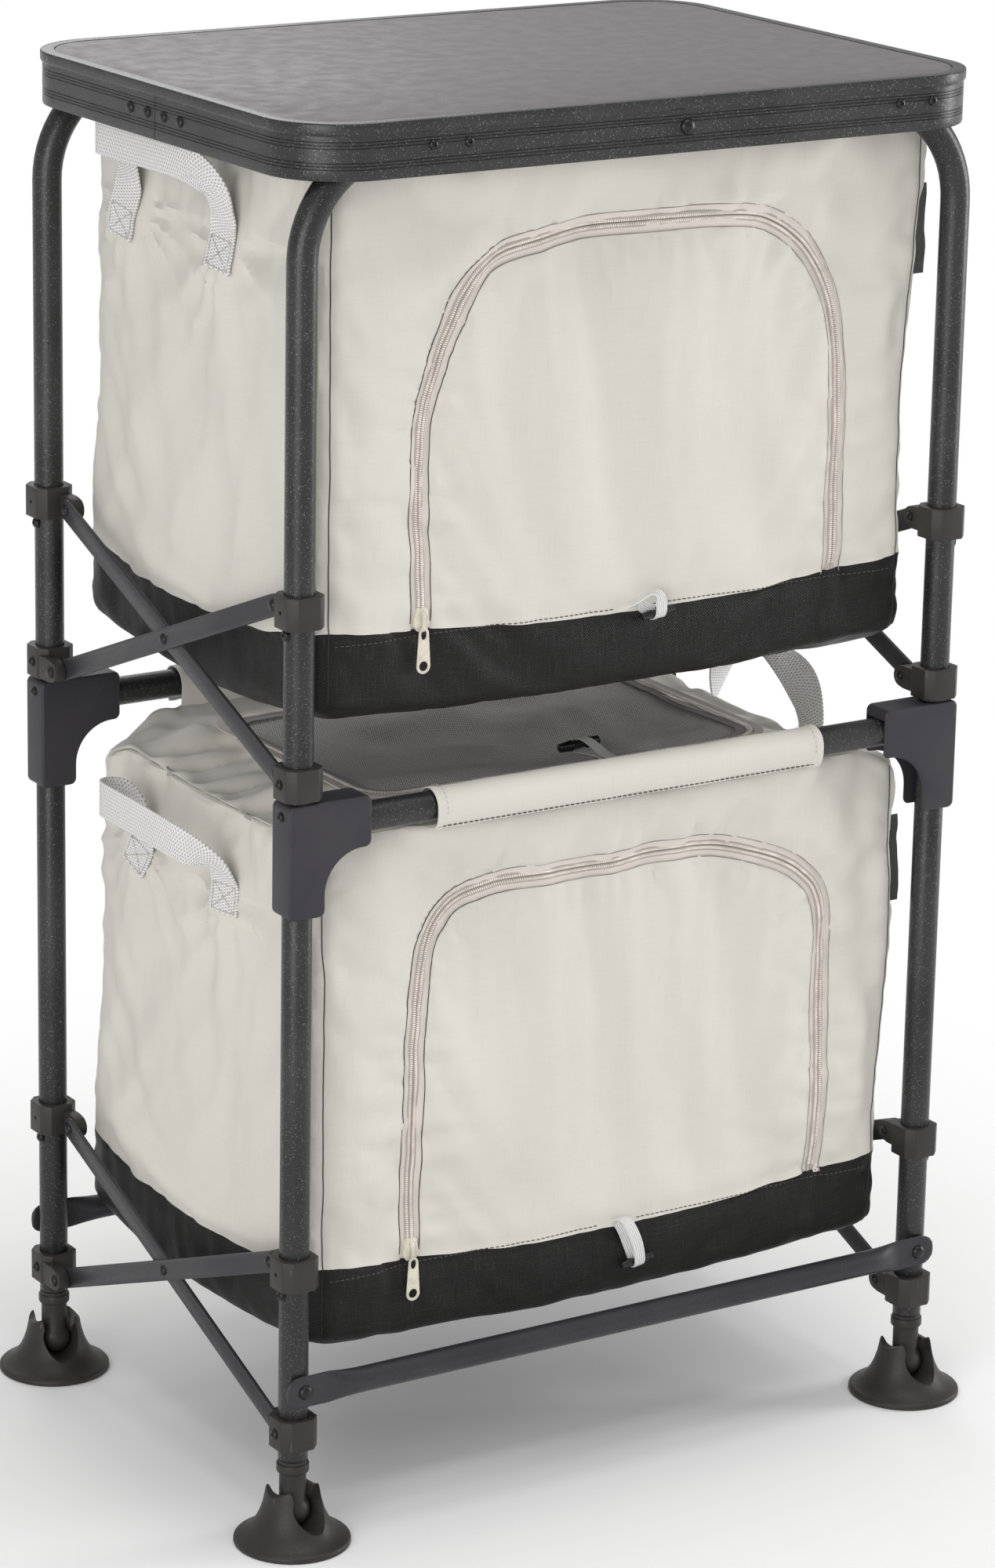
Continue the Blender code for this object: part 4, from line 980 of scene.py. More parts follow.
def cloth_run(mesh, pins, fullness, pressure, gravity, fuller, stiffness, frames):
    """Runs the cloth solver on a copy of the mesh, and returns where its points come to rest."""
    scene = bpy.context.scene
    obj = placed("cloth_run", mesh.copy())
    for name, weights in (("pins", pins), ("fullness", fullness)):
        group = obj.vertex_groups.new(name=name)
        steps = np.round(weights * 10).astype(int)
        for step in range(1, 11):
            group.add(np.where(steps == step)[0].tolist(), step / 10, "REPLACE")
    cloth = obj.modifiers.new("cloth", "CLOTH")
    settings = cloth.settings
    settings.quality = 5
    settings.mass = 0.3
    settings.air_damping = 2.0
    settings.tension_stiffness = settings.compression_stiffness = 15
    settings.shear_stiffness = 5
    settings.bending_stiffness = stiffness
    settings.use_pressure = True
    settings.uniform_pressure_force = pressure
    settings.vertex_group_mass = "pins"
    settings.vertex_group_shrink = "fullness"
    settings.shrink_min, settings.shrink_max = -fuller[0], -fuller[1]
    settings.effector_weights.gravity = gravity
    cloth.point_cache.frame_end = frames + 2
    for number in range(1, frames + 1):
        scene.frame_set(number)
    evaluated = obj.evaluated_get(bpy.context.evaluated_depsgraph_get())
    result = mesh_points(evaluated.to_mesh())
    evaluated.to_mesh_clear()
    bpy.data.objects.remove(obj)
    scene.frame_set(1)
    return result


def ray_at(level, start, direction):
    """Where a ray meets the outside of a bag's shell, and the shell's normal there."""
    place, normal, _, _ = SHELLS[level].ray_cast(Vector(start), Vector(direction))
    if place is None:
        raise RuntimeError(f"no cloth of the {level} bag lies on the ray from {tuple(start)}")
    return place, normal


def on_front(level, x, z):
    return ray_at(level, (x, -RAY_START, z), (0, 1, 0))


def on_side(level, side, y, z):
    return ray_at(level, (SIDES[side] * RAY_START, y, z), (-SIDES[side], 0, 0))


def ribbon(bm, stations, width, thickness):
    """A flat band through stations, each a point and the direction across it, with a UV map in metres."""
    points = [Vector(p) for p, _ in stations]
    frames, walked = [], [0.0]
    for i, (point, across) in enumerate(stations):
        along = heading(points, i)
        across = (Vector(across) - along * along.dot(Vector(across))).normalized()
        frames.append(Matrix.Translation(point) @ basis(across, along.cross(across), along))
        if i:
            walked.append(walked[-1] + (points[i] - points[i - 1]).length)
    half, thin, bevel = width / 2, thickness / 2, RIBBON_BEVEL
    outline = [
        (-half, -thin + bevel), (-half + bevel, -thin), (0, -thin), (half - bevel, -thin),
        (half, -thin + bevel),
        (half, thin - bevel), (half - bevel, thin), (0, thin), (-half + bevel, thin), (-half, thin - bevel),
    ]
    ring = [bm.verts.new(frames[0] @ Vector((x, y, 0))) for x, y in outline]
    edges = [bm.edges.new(pair) for pair in zip(ring, ring[1:] + ring[:1])]
    cut = bm.loops.layers.uv.get("cut") or bm.loops.layers.uv.new("cut")
    where = {v: (0.0, x) for v, (x, _) in zip(ring, outline)}
    first = edges
    for before, after, distance in zip(frames, frames[1:], walked[1:]):
        verts, edges = extrude_ring(bm, edges)
        bmesh.ops.transform(bm, matrix=after @ before.inverted(), verts=verts)
        back = after.inverted()
        where.update({v: (distance, (back @ v.co).x) for v in verts})
    bmesh.ops.edgeloop_fill(bm, edges=first)
    bmesh.ops.edgeloop_fill(bm, edges=edges)
    for vert, place in where.items():
        for loop in vert.link_loops:
            loop[cut].uv = place


# Operators


class CupboardOperator:
    bl_options = {"REGISTER"}

    @classmethod
    def poll(cls, context):
        return context.scene is not None


class CUPBOARD_OT_stage(CupboardOperator, bpy.types.Operator):
    """Makes the camera, lamps, floor and world"""

    bl_idname = "cupboard.stage"
    bl_label = "Stage"

    def execute(self, context):
        scene = context.scene
        scene.view_settings.view_transform = "Standard"
        self.add_camera(scene)
        self.add_lamps()
        self.add_floor()
        self.set_world(scene)
        make_materials(scene)
        return {"FINISHED"}

    def add_camera(self, scene):
        data = bpy.data.cameras.new("camera")
        data.sensor_width = 36
        data.lens = 118.88
        data.shift_x, data.shift_y = 0.01508, -0.00948
        data.clip_start, data.clip_end = 0.1, 60
        yaw, pitch, roll = math.radians(-32.4027), math.radians(16.4573), math.radians(1.0183)
        back = Vector((math.sin(yaw) * math.cos(pitch), -math.cos(yaw) * math.cos(pitch), math.sin(pitch)))
        level = Vector((math.cos(yaw), math.sin(yaw), 0))
        above = back.cross(level)
        across = math.cos(roll) * level + math.sin(roll) * above
        upward = -math.sin(roll) * level + math.cos(roll) * above
        place = Vector((0, 0, 0.5)) - 0.0118 * level + 0.0034 * above + 3.9727 * back
        scene.camera = placed("camera", data)
        scene.camera.matrix_world = Matrix.Translation(place) @ basis(across, upward, back)

    def add_lamps(self):
        lamps = (
            ("left", (-3.0, -2.15, 1.15), (2.0, 2.2), 52),
            ("right", (3.4, -1.1, 1.15), (0.9, 2.1), 56),
            ("rear", (0.8, 3.2, 2.6), (2.0, 2.0), 28),
            ("top", (0.0, -0.6, 3.6), (2.0, 2.0), 38),
        )
        for name, place, size, power in lamps:
            data = bpy.data.lights.new(name, "AREA")
            data.shape = "RECTANGLE"
            (data.size, data.size_y), data.energy = size, power
            lamp = placed(name, data)
            lamp.location = place
            lamp.rotation_euler = (Vector((0, 0, 0.5)) - Vector(place)).to_track_quat("-Z", "Y").to_euler()

    def add_floor(self):
        bm = bmesh.new()
        bmesh.ops.create_grid(bm, x_segments=1, y_segments=1, size=14)
        floor = placed("floor", to_mesh(bm, "floor"))
        floor.location.z = cad_low.z - 0.0002
        material, tree, shader = new_material("floor", roughness=0.9, specular=0.1)
        shader.inputs["Base Color"].default_value = (0.90, 0.90, 0.90, 1)
        rays = add_node(tree, "ShaderNodeLightPath")
        seen = math_node(tree, "MAXIMUM", rays.outputs["Is Camera Ray"], rays.outputs["Is Glossy Ray"])
        place = object_place(tree)
        distance = add_node(tree, "ShaderNodeVectorMath", {0: place}, operation="LENGTH").outputs["Value"]
        far = ramp(tree, distance, 0.45, 1.10, 0.0, 1.0)
        white = add_node(tree, "ShaderNodeEmission", {"Color": (1, 1, 1, 1), "Strength": 1.0})
        mix = add_node(
            tree, "ShaderNodeMixShader",
            {0: math_node(tree, "MULTIPLY", seen, far), 1: shader.outputs[0], 2: white.outputs[0]},
        )
        tree.links.new(mix.outputs[0], tree.nodes["Material Output"].inputs["Surface"])
        floor.data.materials.append(material)

    def set_world(self, scene):
        world = bpy.data.worlds.new("studio")
        scene.world = world
        world.use_nodes = True
        tree = world.node_tree
        tree.nodes.clear()
        rays = add_node(tree, "ShaderNodeLightPath")
        soft = add_node(tree, "ShaderNodeBackground", {"Color": (1, 1, 1, 1), "Strength": 0.56})
        white = add_node(tree, "ShaderNodeBackground", {"Color": (1, 1, 1, 1), "Strength": 1.0})
        seen = math_node(tree, "MAXIMUM", rays.outputs["Is Camera Ray"], rays.outputs["Is Transmission Ray"])
        mix = add_node(tree, "ShaderNodeMixShader", {0: seen, 1: soft.outputs[0], 2: white.outputs[0]})
        out = add_node(tree, "ShaderNodeOutputWorld")
        tree.links.new(mix.outputs[0], out.inputs[0])


class CUPBOARD_OT_table_top(CupboardOperator, bpy.types.Operator):
    """Models the board, its extruded rim and the rim's fasteners"""

    bl_idname = "cupboard.table_top"
    bl_label = "Table Top"

    def execute(self, context):
        settings = context.scene.cupboard_table
        self.make_rim(settings)
        self.make_board(settings)
        self.make_fasteners()
        return {"FINISHED"}

    def loop_frames(self, radius):
        """Frames round the table's edge, with X outwards and Y along Z."""
        half_x, half_y = TABLE_HIGH.x - radius, TABLE_HIGH.y - radius
        corners = (
            ((half_x, half_y), 0), ((-half_x, half_y), 90), ((-half_x, -half_y), 180),
            ((half_x, -half_y), 270)
        )
        frames = []
        for centre, start in corners:
            for i in range(13):
                angle = math.radians(start + 90 * i / 12)
                out = Vector((math.cos(angle), math.sin(angle), 0))
                place = Vector((*centre, 0)) + out * radius
                frames.append(Matrix.Translation(place) @ basis(out, UP, out.cross(UP)))
        return frames + frames[:1]

    def make_rim(self, settings):
        top, foot = TABLE_HIGH.z, TABLE_LOW.z
        wall, depth = -0.0015, settings.groove_depth
        profile = [
            (-0.0105, top - 0.0012), (-0.0103, top - 0.0001), (-0.0098, top), (-0.0012, top),
            (-0.0006, top - 0.0002),
            (-0.0002, top - 0.0007), (0, top - 0.0014), (0, top - 0.0066), (-0.0002, top - 0.0073),
            (-0.0007, top - 0.0080), (wall, top - 0.0090),
        ]
        for group in (0.0125, 0.0270):
            for i in range(3):
                z = top - group - i * 0.0022
                profile += [
                    (wall, z), (wall - depth, z - 0.0003), (wall - depth, z - 0.0006), (wall, z - 0.0009)
                ]
        profile += [
            (wall, foot + 0.0014), (wall - 0.0004, foot + 0.0004), (wall - 0.0012, foot),
            (wall - 0.0042, foot),
            (wall - 0.0046, foot + 0.0008), (wall - 0.0042, foot + 0.0016), (wall - 0.0020, foot + 0.0018),
            (wall - 0.0016, foot + 0.0024), (wall - 0.0016, top - 0.0085), (wall - 0.0100, top - 0.0085),
            (wall - 0.0100, top - 0.0066), (wall - 0.0016, top - 0.0066), (wall - 0.0016, top - 0.0014),
        ]
        frames = self.loop_frames(settings.corner_radius)
        bm = bmesh.new()
        verts = [bm.verts.new(frames[0] @ Vector((out, z, 0))) for out, z in profile]
        edges = [bm.edges.new(pair) for pair in zip(verts, verts[1:] + verts[:1])]
        sweep(bm, edges, frames, close=True)
        finish_piece(bm, "extruded_rim", "rim", "table_top", ["table_rim"], sharp=28)

    def make_board(self, settings):
        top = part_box("table_board")[1].z
        for name, inset, drop, replaced in (
            ("board_face", 0.0108, 0, []), ("board_back", 0.0035, 0.0015, ["table_board"]),
        ):
            bm = bmesh.new()
            outline = rectangle(0, 0, TABLE_HIGH.x - inset, TABLE_HIGH.y - inset)
            round_corners(bm, flat_face(bm, outline, "Z", top - drop), settings.corner_radius - inset, 12)
            extrude_faces(bm, (0, 0, -0.0045))
            if name == "board_face":
                soften_edges(bm, 0.0004, 2, least=60)
            finish_piece(bm, name, "board", "table_top", replaced, sharp=50)
        self.make_saddles(top)

    def make_saddles(self, board_z):
        """The moulded saddles under the board that drop over the top rails."""
        for end, sign in ENDS.items():
            for side in SIDES:
                x, y = SIDES[side] * (LEG_X - 0.094), sign * LEG_Y
                reach = TUBE_RADIUS + 0.0033
                ys = (y - reach, y if end == "front" else y + reach)
                bm = bmesh.new()
                box_into(bm, (x - 0.010, ys[0], TOP_RAIL_Z), (x + 0.010, ys[1], board_z - 0.0058))
                soften_edges(bm, 0.0009, 2)
                cutter = bmesh.new()
                rod_into(
                    cutter, (x - 0.02, y, TOP_RAIL_Z), (x + 0.02, y, TOP_RAIL_Z), TUBE_RADIUS + CLEARANCE
                )
                bm = joined(bm, ("DIFFERENCE", cutter))
                finish_piece(bm, f"{end}_{side}_saddle", "gusset", "table_top", [])

    def make_fasteners(self):
        bm = bmesh.new()
        face_y = TABLE_LOW.y + 0.0015
        for x in (-0.191, -0.162, 0.207, 0.236):
            screw_into(bm, (x, face_y, 1.0330), (0, -1, 0), 0.0038, spin=int(x * 1000) % 90)
        for x in (-0.200, -0.170, 0.170, 0.200):
            screw_into(bm, (x, -face_y, 1.0330), (0, 1, 0), 0.0038, spin=int(x * 700) % 90)
        finish_piece(bm, "rim_screws", "screw", "table_top", [])
        bm = bmesh.new()
        for y in (0.035, 0.010, -0.014, -0.038):
            screw_into(bm, (TABLE_LOW.x + 0.0015, y, 1.0300), (-1, 0, 0), 0.0042, recessed=False)
        screw_into(bm, (0.020, face_y, 1.0300), (0, -1, 0), 0.0060, recessed=False)
        finish_piece(bm, "rim_rivets", "screw", "table_top", [])
        bm = bmesh.new()
        box_into(
            bm, (TABLE_LOW.x + 0.0013, -0.0013, TABLE_LOW.z + 0.0008),
            (TABLE_LOW.x + 0.0020, -0.0008, TABLE_HIGH.z - 0.008)
        )
        soften_edges(bm, 0.0001, 1)
        finish_piece(bm, "rim_splice", "fold_shade", "table_top", [])


class CUPBOARD_OT_tubes(CupboardOperator, bpy.types.Operator):
    """Models the bent upper tubes, the mid rails, the lower legs and the stretchers"""

    bl_idname = "cupboard.tubes"
    bl_label = "Tubes"

    def execute(self, context):
        settings = context.scene.cupboard_tubes
        for end in ENDS:
            self.make_upper(end, settings)
            self.make_straight(end, settings)
            self.make_stretcher(end)
        return {"FINISHED"}

    def make_upper(self, end, settings):
        y, bend = ENDS[end] * LEG_Y, settings.bend_radius
        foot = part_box(f"{end}_upper_frame")[0].z
        left = [(-LEG_X, y, foot)] + [
            (x, y, z) for x, z in arc_points((-LEG_X + bend, TOP_RAIL_Z - bend), bend, 180, 90, 16)
        ]
        points = left + [(-x, y, z) for x, y, z in reversed(left)]
        bm = bmesh.new()
        frames = path_frames(points, (0, 1, 0))
        frames[0] = Matrix.Translation(points[0]) @ path_frames(points[:2], (0, 1, 0))[0].to_3x3().to_4x4()
        frames[-1] = Matrix.Translation(points[-1]) @ path_frames(points[-2:], (0, 1, 0))[1].to_3x3().to_4x4()
        sweep(bm, ring_at(bm, frames[0], TUBE_RADIUS, settings.sides), frames)
        finish_piece(
            bm, f"{end}_upper_tube", "tube", f"{end}_frame", [f"{end}_upper_frame"], sharp=60
        )

    def make_straight(self, end, settings):
        y = ENDS[end] * LEG_Y
        low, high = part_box(f"{end}_mid_rail")
        bm = bmesh.new()
        rod_into(bm, (low.x, y, MID_RAIL_Z), (high.x, y, MID_RAIL_Z), TUBE_RADIUS, settings.sides)
        finish_piece(
            bm, f"{end}_mid_tube", "tube", f"{end}_frame", [f"{end}_mid_rail"], sharp=60
        )
        for side, sign in SIDES.items():
            node = f"{end}_{side}_lower_leg"
            low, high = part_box(node)
            bm = bmesh.new()
            rod_into(bm, (sign * LEG_X, y, low.z), (sign * LEG_X, y, high.z), TUBE_RADIUS, settings.sides)
            soften_edges(bm, 0.0006, 2, least=60)
            finish_piece(
                bm, f"{end}_{side}_lower_tube", "tube", f"{end}_frame", [node], sharp=60
            )

    def make_stretcher(self, end):
        """A round tube pressed flat towards its ends, where a rivet holds it to the leg."""
        node = f"{end}_stretcher"
        low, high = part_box(node)
        y, z, radius = (low.y + high.y) / 2, (low.z + high.z) / 2, 0.0095
        shape = [
            (0.2924, 0.0040, 0.0012), (0.2920, 0.0062, 0.0015), (0.2895, 0.0093, 0.0015),
            (0.2858, 0.0113, 0.0015),
            (0.2810, 0.0123, 0.0015), (0.2610, 0.0125, 0.0015), (0.2570, 0.0124, 0.0019),
            (0.2530, 0.0119, 0.0032),
            (0.2470, 0.0110, 0.0058), (0.2400, 0.0101, 0.0083), (0.2330, 0.0096, 0.0093),
            (0.2250, radius, radius),
        ]
        stations = [(-x, a, b) for x, a, b in shape] + [(x, a, b) for x, a, b in reversed(shape)]
        points = [(x, y, z) for x, _, _ in stations]
        frames = path_frames(points, (0, 1, 0), [(a, b) for _, a, b in stations])
        bm = bmesh.new()
        sweep(bm, ring_at(bm, frames[0], 1.0, 36), frames)
        finish_piece(bm, f"{end}_stretcher_tube", "bar", f"{end}_frame", [node], sharp=50)


class CUPBOARD_OT_gussets(CupboardOperator, bpy.types.Operator):
    """Models the moulded gussets where the mid rails meet the legs"""

    bl_idname = "cupboard.gussets"
    bl_label = "Gussets"

    def execute(self, context):
        radius = context.scene.cupboard_fittings.edge_radius
        for end in ENDS:
            for side in SIDES:
                self.make_gusset(end, side, radius)
        return {"FINISHED"}

    def make_gusset(self, end, side, radius):
        node = f"{end}_{side}_gusset"
        low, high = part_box(node)
        sign, y = SIDES[side], ENDS[end] * LEG_Y
        outer = 0.0138
        top, foot = high.z, low.z
        arm_foot = top - 0.038
        arm = low.x if sign > 0 else -high.x
        shank = LEG_X - 0.016
        corners = [
            (sign * (LEG_X + outer), top), (sign * arm, top), (sign * arm, arm_foot),
            (sign * shank, arm_foot),
            (sign * shank, foot), (sign * (LEG_X + outer), foot),
        ]
        half = (high.y - low.y) / 2
        bm = bmesh.new()
        verts = flat_face(bm, corners, "Y", y - half)
        round_corners(bm, [verts[3]], 0.0315, 14)
        sharp = [
            v for v in bm.verts if any((v.co.xz - Vector(corners[i])).length < NEAR for i in (0, 1, 2, 4, 5))
        ]
        round_corners(bm, sharp, 0.005, 6)
        extrude_faces(bm, (0, 2 * half, 0))
        soften_edges(bm, radius, 4, least=60)
        channel = bmesh.new()
        xs = sorted((sign * (LEG_X + outer - 0.0025), sign * (arm - 0.01)))
        wall = TUBE_RADIUS + CLEARANCE
        box_into(channel, (xs[0], y - wall, foot - 0.01), (xs[1], y + wall, MID_RAIL_Z + wall))
        bm = joined(bm, ("DIFFERENCE", channel))
        finish_piece(bm, f"{node}_shell", "gusset", f"{end}_frame", [node], sharp=40)


class CUPBOARD_OT_collars(CupboardOperator, bpy.types.Operator):
    """Models the fixed and sliding collars with their lugs"""

    bl_idname = "cupboard.collars"
    bl_label = "Collars"

    def execute(self, context):
        for end in ENDS:
            for side in SIDES:
                for level in LEVELS:
                    for kind in ("fixed", "sliding"):
                        self.make_collar(end, side, level, kind)
        return {"FINISHED"}

    def lug_span(self, end, kind):
        if (kind, end) == ("fixed", "back"):
            return 0.0053, 0.0147
        outer = 0.0017 if (kind, end) == ("sliding", "front") else -0.0016
        return outer - 0.0094, outer

    def make_collar(self, end, side, level, kind):
        node = f"{end}_{side}_{level}_{kind}_collar"
        x, y = SIDES[side] * LEG_X, ENDS[end] * LEG_Y
        pivot_z = FIXED_PIVOT[level] + (RISE if kind == "sliding" else 0)
        z, half_x, half_y = pivot_z + 0.002, 0.0155, 0.015
        bm = bmesh.new()
        outline = rectangle(x, y, half_x, half_y)
        round_corners(bm, flat_face(bm, outline, "Z", z - COLLAR_HALF_HEIGHT), 0.0065, 1)
        extrude_faces(bm, (0, 0, 2 * COLLAR_HALF_HEIGHT))
        soften_edges(bm, 0.0007, 2, least=30)
        inner, outer = self.lug_span(end, kind)
        xs = sorted(SIDES[side] * (LEG_X + out) for out in (inner, outer))
        pivot = Vector((0, ENDS[end] * PIVOT_Y, pivot_z))
        lug = bmesh.new()
        rod_into(lug, (xs[0], pivot.y, pivot.z), (xs[1], pivot.y, pivot.z), BAR_END_RADIUS, 24)
        box_into(
            lug, (xs[0], min(y, pivot.y + ENDS[end] * 0.004), pivot_z - 0.009),
            (xs[1], max(y, pivot.y + ENDS[end] * 0.004), pivot_z + 0.009),
        )
        keep_hull(lug)
        soften_edges(lug, 0.0008, 2, least=50)
        bore = bmesh.new()
        rod_into(bore, (x, y, z - 0.02), (x, y, z + 0.02), TUBE_RADIUS + CLEARANCE, 40)
        pin = bmesh.new()
        rod_into(pin, (xs[0] - 0.004, pivot.y, pivot.z), (xs[1] + 0.004, pivot.y, pivot.z), 0.0028, 20)
        steps = [("UNION", lug), ("DIFFERENCE", bore), ("DIFFERENCE", pin)]
        if kind == "sliding":
            face = x + SIDES[side] * half_x
            hole = bmesh.new()
            rod_into(hole, (face - SIDES[side] * 0.003, y, z), (face + SIDES[side] * 0.002, y, z), 0.0015, 16)
            steps.append(("DIFFERENCE", hole))
        bm = joined(bm, *steps)
        body = f"{end}_frame" if kind == "fixed" else node
        finish_piece(bm, f"{node}_body", "collar", body, [node], sharp=30)


class CUPBOARD_OT_bars(CupboardOperator, bpy.types.Operator):
    """Models the flat scissor bars and their rivets"""

    bl_idname = "cupboard.bars"
    bl_label = "Scissor Bars"

    def execute(self, context):
        for side in SIDES:
            for level in LEVELS:
                for kind in ("rising", "falling"):
                    self.make_bar(side, level, kind)
        return {"FINISHED"}

    def make_bar(self, side, level, kind):
        node = f"{side}_{level}_{kind}_bar"
        pivot_z, out = FIXED_PIVOT[level], 0.002 if kind == "rising" else -0.0013
        front_z, back_z = (pivot_z + RISE, pivot_z) if kind == "rising" else (pivot_z, pivot_z + RISE)
        xs = sorted(SIDES[side] * (LEG_X + o) for o in (out, out + BAR_THICKNESS))
        bm = bmesh.new()
        for y, z in ((-PIVOT_Y, front_z), (PIVOT_Y, back_z)):
            rod_into(bm, (xs[0], y, z), (xs[1], y, z), BAR_END_RADIUS)
        keep_hull(bm)
        soften_edges(bm, 0.0005, 2, least=60)
        finish_piece(bm, f"{node}_strip", "bar", node, [node], sharp=40)
        self.make_rivets(side, level, kind, front_z, back_z, xs)

    def make_rivets(self, side, level, kind, front_z, back_z, xs):
        node = f"{side}_{level}_{kind}_bar"
        outward = Vector((SIDES[side], 0, 0))
        outer = xs[1] if SIDES[side] > 0 else xs[0]
        bm = bmesh.new()
        spans = {
            "rising": ((-PIVOT_Y, front_z, 0.0050, -0.0080), (PIVOT_Y, back_z, 0.0150, 0.0022)),
            "falling": ((-PIVOT_Y, front_z, 0.0017, -0.0112), (PIVOT_Y, back_z, 0.0017, -0.0112)),
        }[kind]
        for y, z, head, tail in spans:
            place = Vector((SIDES[side] * (LEG_X + head), y, z))
            end = Vector((SIDES[side] * (LEG_X + tail), y, z))
            screw_into(bm, place, outward, 0.0044, recessed=False)
            rod_into(bm, end, place, RIVET_RADIUS, 16)
            screw_into(bm, end, -outward, RIVET_TAIL_RADIUS, recessed=False)
        if kind == "rising":
            z = (front_z + back_z) / 2
            place = Vector((outer, 0, z))
            screw_into(bm, place, outward, 0.0042, recessed=False)
            end = Vector((SIDES[side] * (LEG_X - 0.0014), 0, z))
            rod_into(bm, end, place, RIVET_RADIUS, 16)
            screw_into(bm, end, -outward, RIVET_TAIL_RADIUS, recessed=False)
        finish_piece(bm, f"{node}_rivets", "screw", node, [])


class CUPBOARD_OT_screws(CupboardOperator, bpy.types.Operator):
    """Models the stop screws, set screws and stretcher rivets"""

    bl_idname = "cupboard.screws"
    bl_label = "Screws"

    def execute(self, context):
        for end in ENDS:
            bm = bmesh.new()
            y = ENDS[end] * LEG_Y
            for side, sign in SIDES.items():
                outward = Vector((sign, 0, 0))
                for level in LEVELS:
                    pivot_z = FIXED_PIVOT[level]
                    stop_z = pivot_z + RISE + 0.002 - COLLAR_HALF_HEIGHT - CLEARANCE - STOP_SCREW_RADIUS
                    stop = (sign * (LEG_X + TUBE_RADIUS - 0.0005), y, stop_z)
                    self.pan_head(bm, stop, outward, STOP_SCREW_RADIUS, 15 + 30 * sign)
                    self.pan_head(bm, (sign * (LEG_X + 0.0152), y, pivot_z + 0.002), outward, 0.0040, 60)
                gusset_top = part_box(f"{end}_{side}_gusset")[1].z
                self.pan_head(bm, (sign * (LEG_X + 0.0134), y, gusset_top - 0.0100), outward, 0.0038, 35)
                outside = Vector((0, ENDS[end], 0))
                face = ENDS[end] * (LEG_Y + TUBE_RADIUS + 0.0033)
                z = middle(f"{end}_stretcher").z
                screw_into(bm, (sign * (LEG_X - 0.002), face, z), outside, 0.0056, recessed=False)
            finish_piece(bm, f"{end}_screws", "screw", f"{end}_frame", [])
        return {"FINISHED"}

    def pan_head(self, bm, place, normal, radius, spin):
        """A washer with a recessed screw head on it."""
        place, normal = Vector(place), Vector(normal)
        rod_into(bm, place - normal * 0.0004, place + normal * 0.0008, radius * 1.12, 28)
        screw_into(bm, place + normal * 0.0007, normal, radius * 0.92, spin=spin)


class CUPBOARD_OT_feet(CupboardOperator, bpy.types.Operator):
    """Models the ball-jointed feet"""

    bl_idname = "cupboard.feet"
    bl_label = "Feet"

    def execute(self, context):
        spins = {
            ("front", "left"): -78, ("front", "right"): -85, ("back", "left"): -100, ("back", "right"): -120
        }
        for (end, side), spin in spins.items():
            place = (SIDES[side] * LEG_X, ENDS[end] * LEG_Y, 0)
            self.make_stem(end, side, place)
            self.make_cup(end, side, place, math.radians(spin))
        return {"FINISHED"}

    def make_stem(self, end, side, place):
        node = f"{end}_{side}_foot_stem"
        bm = bmesh.new()
        top = LEG_END_Z - 0.0003
        ball = [(r, z + 0.0255) for r, z in arc_points((0, 0), 0.013, 39.7, -86, 14)]
        profile = [
            (0, top), (0.0106, top), (0.0110, top - 0.0004), (0.0110, top - 0.0028), (0.0118, top - 0.0030),
            (0.0121, top - 0.0036), (0.0121, top - 0.0088), (0.0118, top - 0.0096), (0.0110, top - 0.0101),
            (0.0101, top - 0.0103), (0.0100, top - 0.0110), *ball, (0, 0.0125),
        ]
        lathe(bm, profile, 40, Matrix.Translation(place))
        finish_piece(bm, f"{node}_turned", "foot", f"{end}_frame", [node], sharp=38)

    def make_cup(self, end, side, place, spin):
        node = f"{end}_{side}_foot_cup"
        socket = arc_points((0, 0.0255), 0.0133, -88, 2, 10)
        profile = [
            (0, 0.0123), *socket, (0.0139, 0.034), (0.0152, 0.0408), (0.0166, 0.0438), (0.0180, 0.0448),
            (0.0192, 0.0440), (0.0200, 0.0415), (0.0208, 0.0370), (0.0220, 0.0310), (0.0242, 0.0240),
            (0.0272, 0.0175), (0.0312, 0.0118), (0.0358, 0.0077), (0.0405, 0.0050), (0.0426, 0.0042),
            (0.0433, 0.0034), (0.0435, 0.0024), (0.0435, 0.0006), (0.0430, 0), (0, 0),
        ]
        bm = bmesh.new()
        lathe(bm, profile, 72)
        slot = bmesh.new()
        corners = arc_points((0, 0.0262), 0.0122, 180, 360, 16) + [(0.0145, 0.060), (-0.0145, 0.060)]
        flat_face(slot, corners, "X", -0.06)
        extrude_faces(slot, (0.12, 0, 0))
        flare = bmesh.new()
        for sign in (-1, 1):
            rod_into(
                flare, (sign * 0.008, 0, 0.0330), (sign * 0.060, 0, 0.0300), 0.0120, 28, end_radius=0.0260
            )
        bm = joined(bm, ("DIFFERENCE", slot), ("DIFFERENCE", flare))
        dips = bmesh.new()
        for sign in (-1, 1):
            rod_into(dips, (0, sign * 0.008, 0.0640), (0, sign * 0.040, 0.0560), 0.0205, 28)
        bm = joined(bm, ("DIFFERENCE", dips))
        turn = Matrix.Translation(place) @ Matrix.Rotation(spin, 4, "Z")
        bmesh.ops.transform(bm, matrix=turn, verts=bm.verts)
        finish_piece(bm, f"{node}_flared", "foot", node, [node], sharp=38)


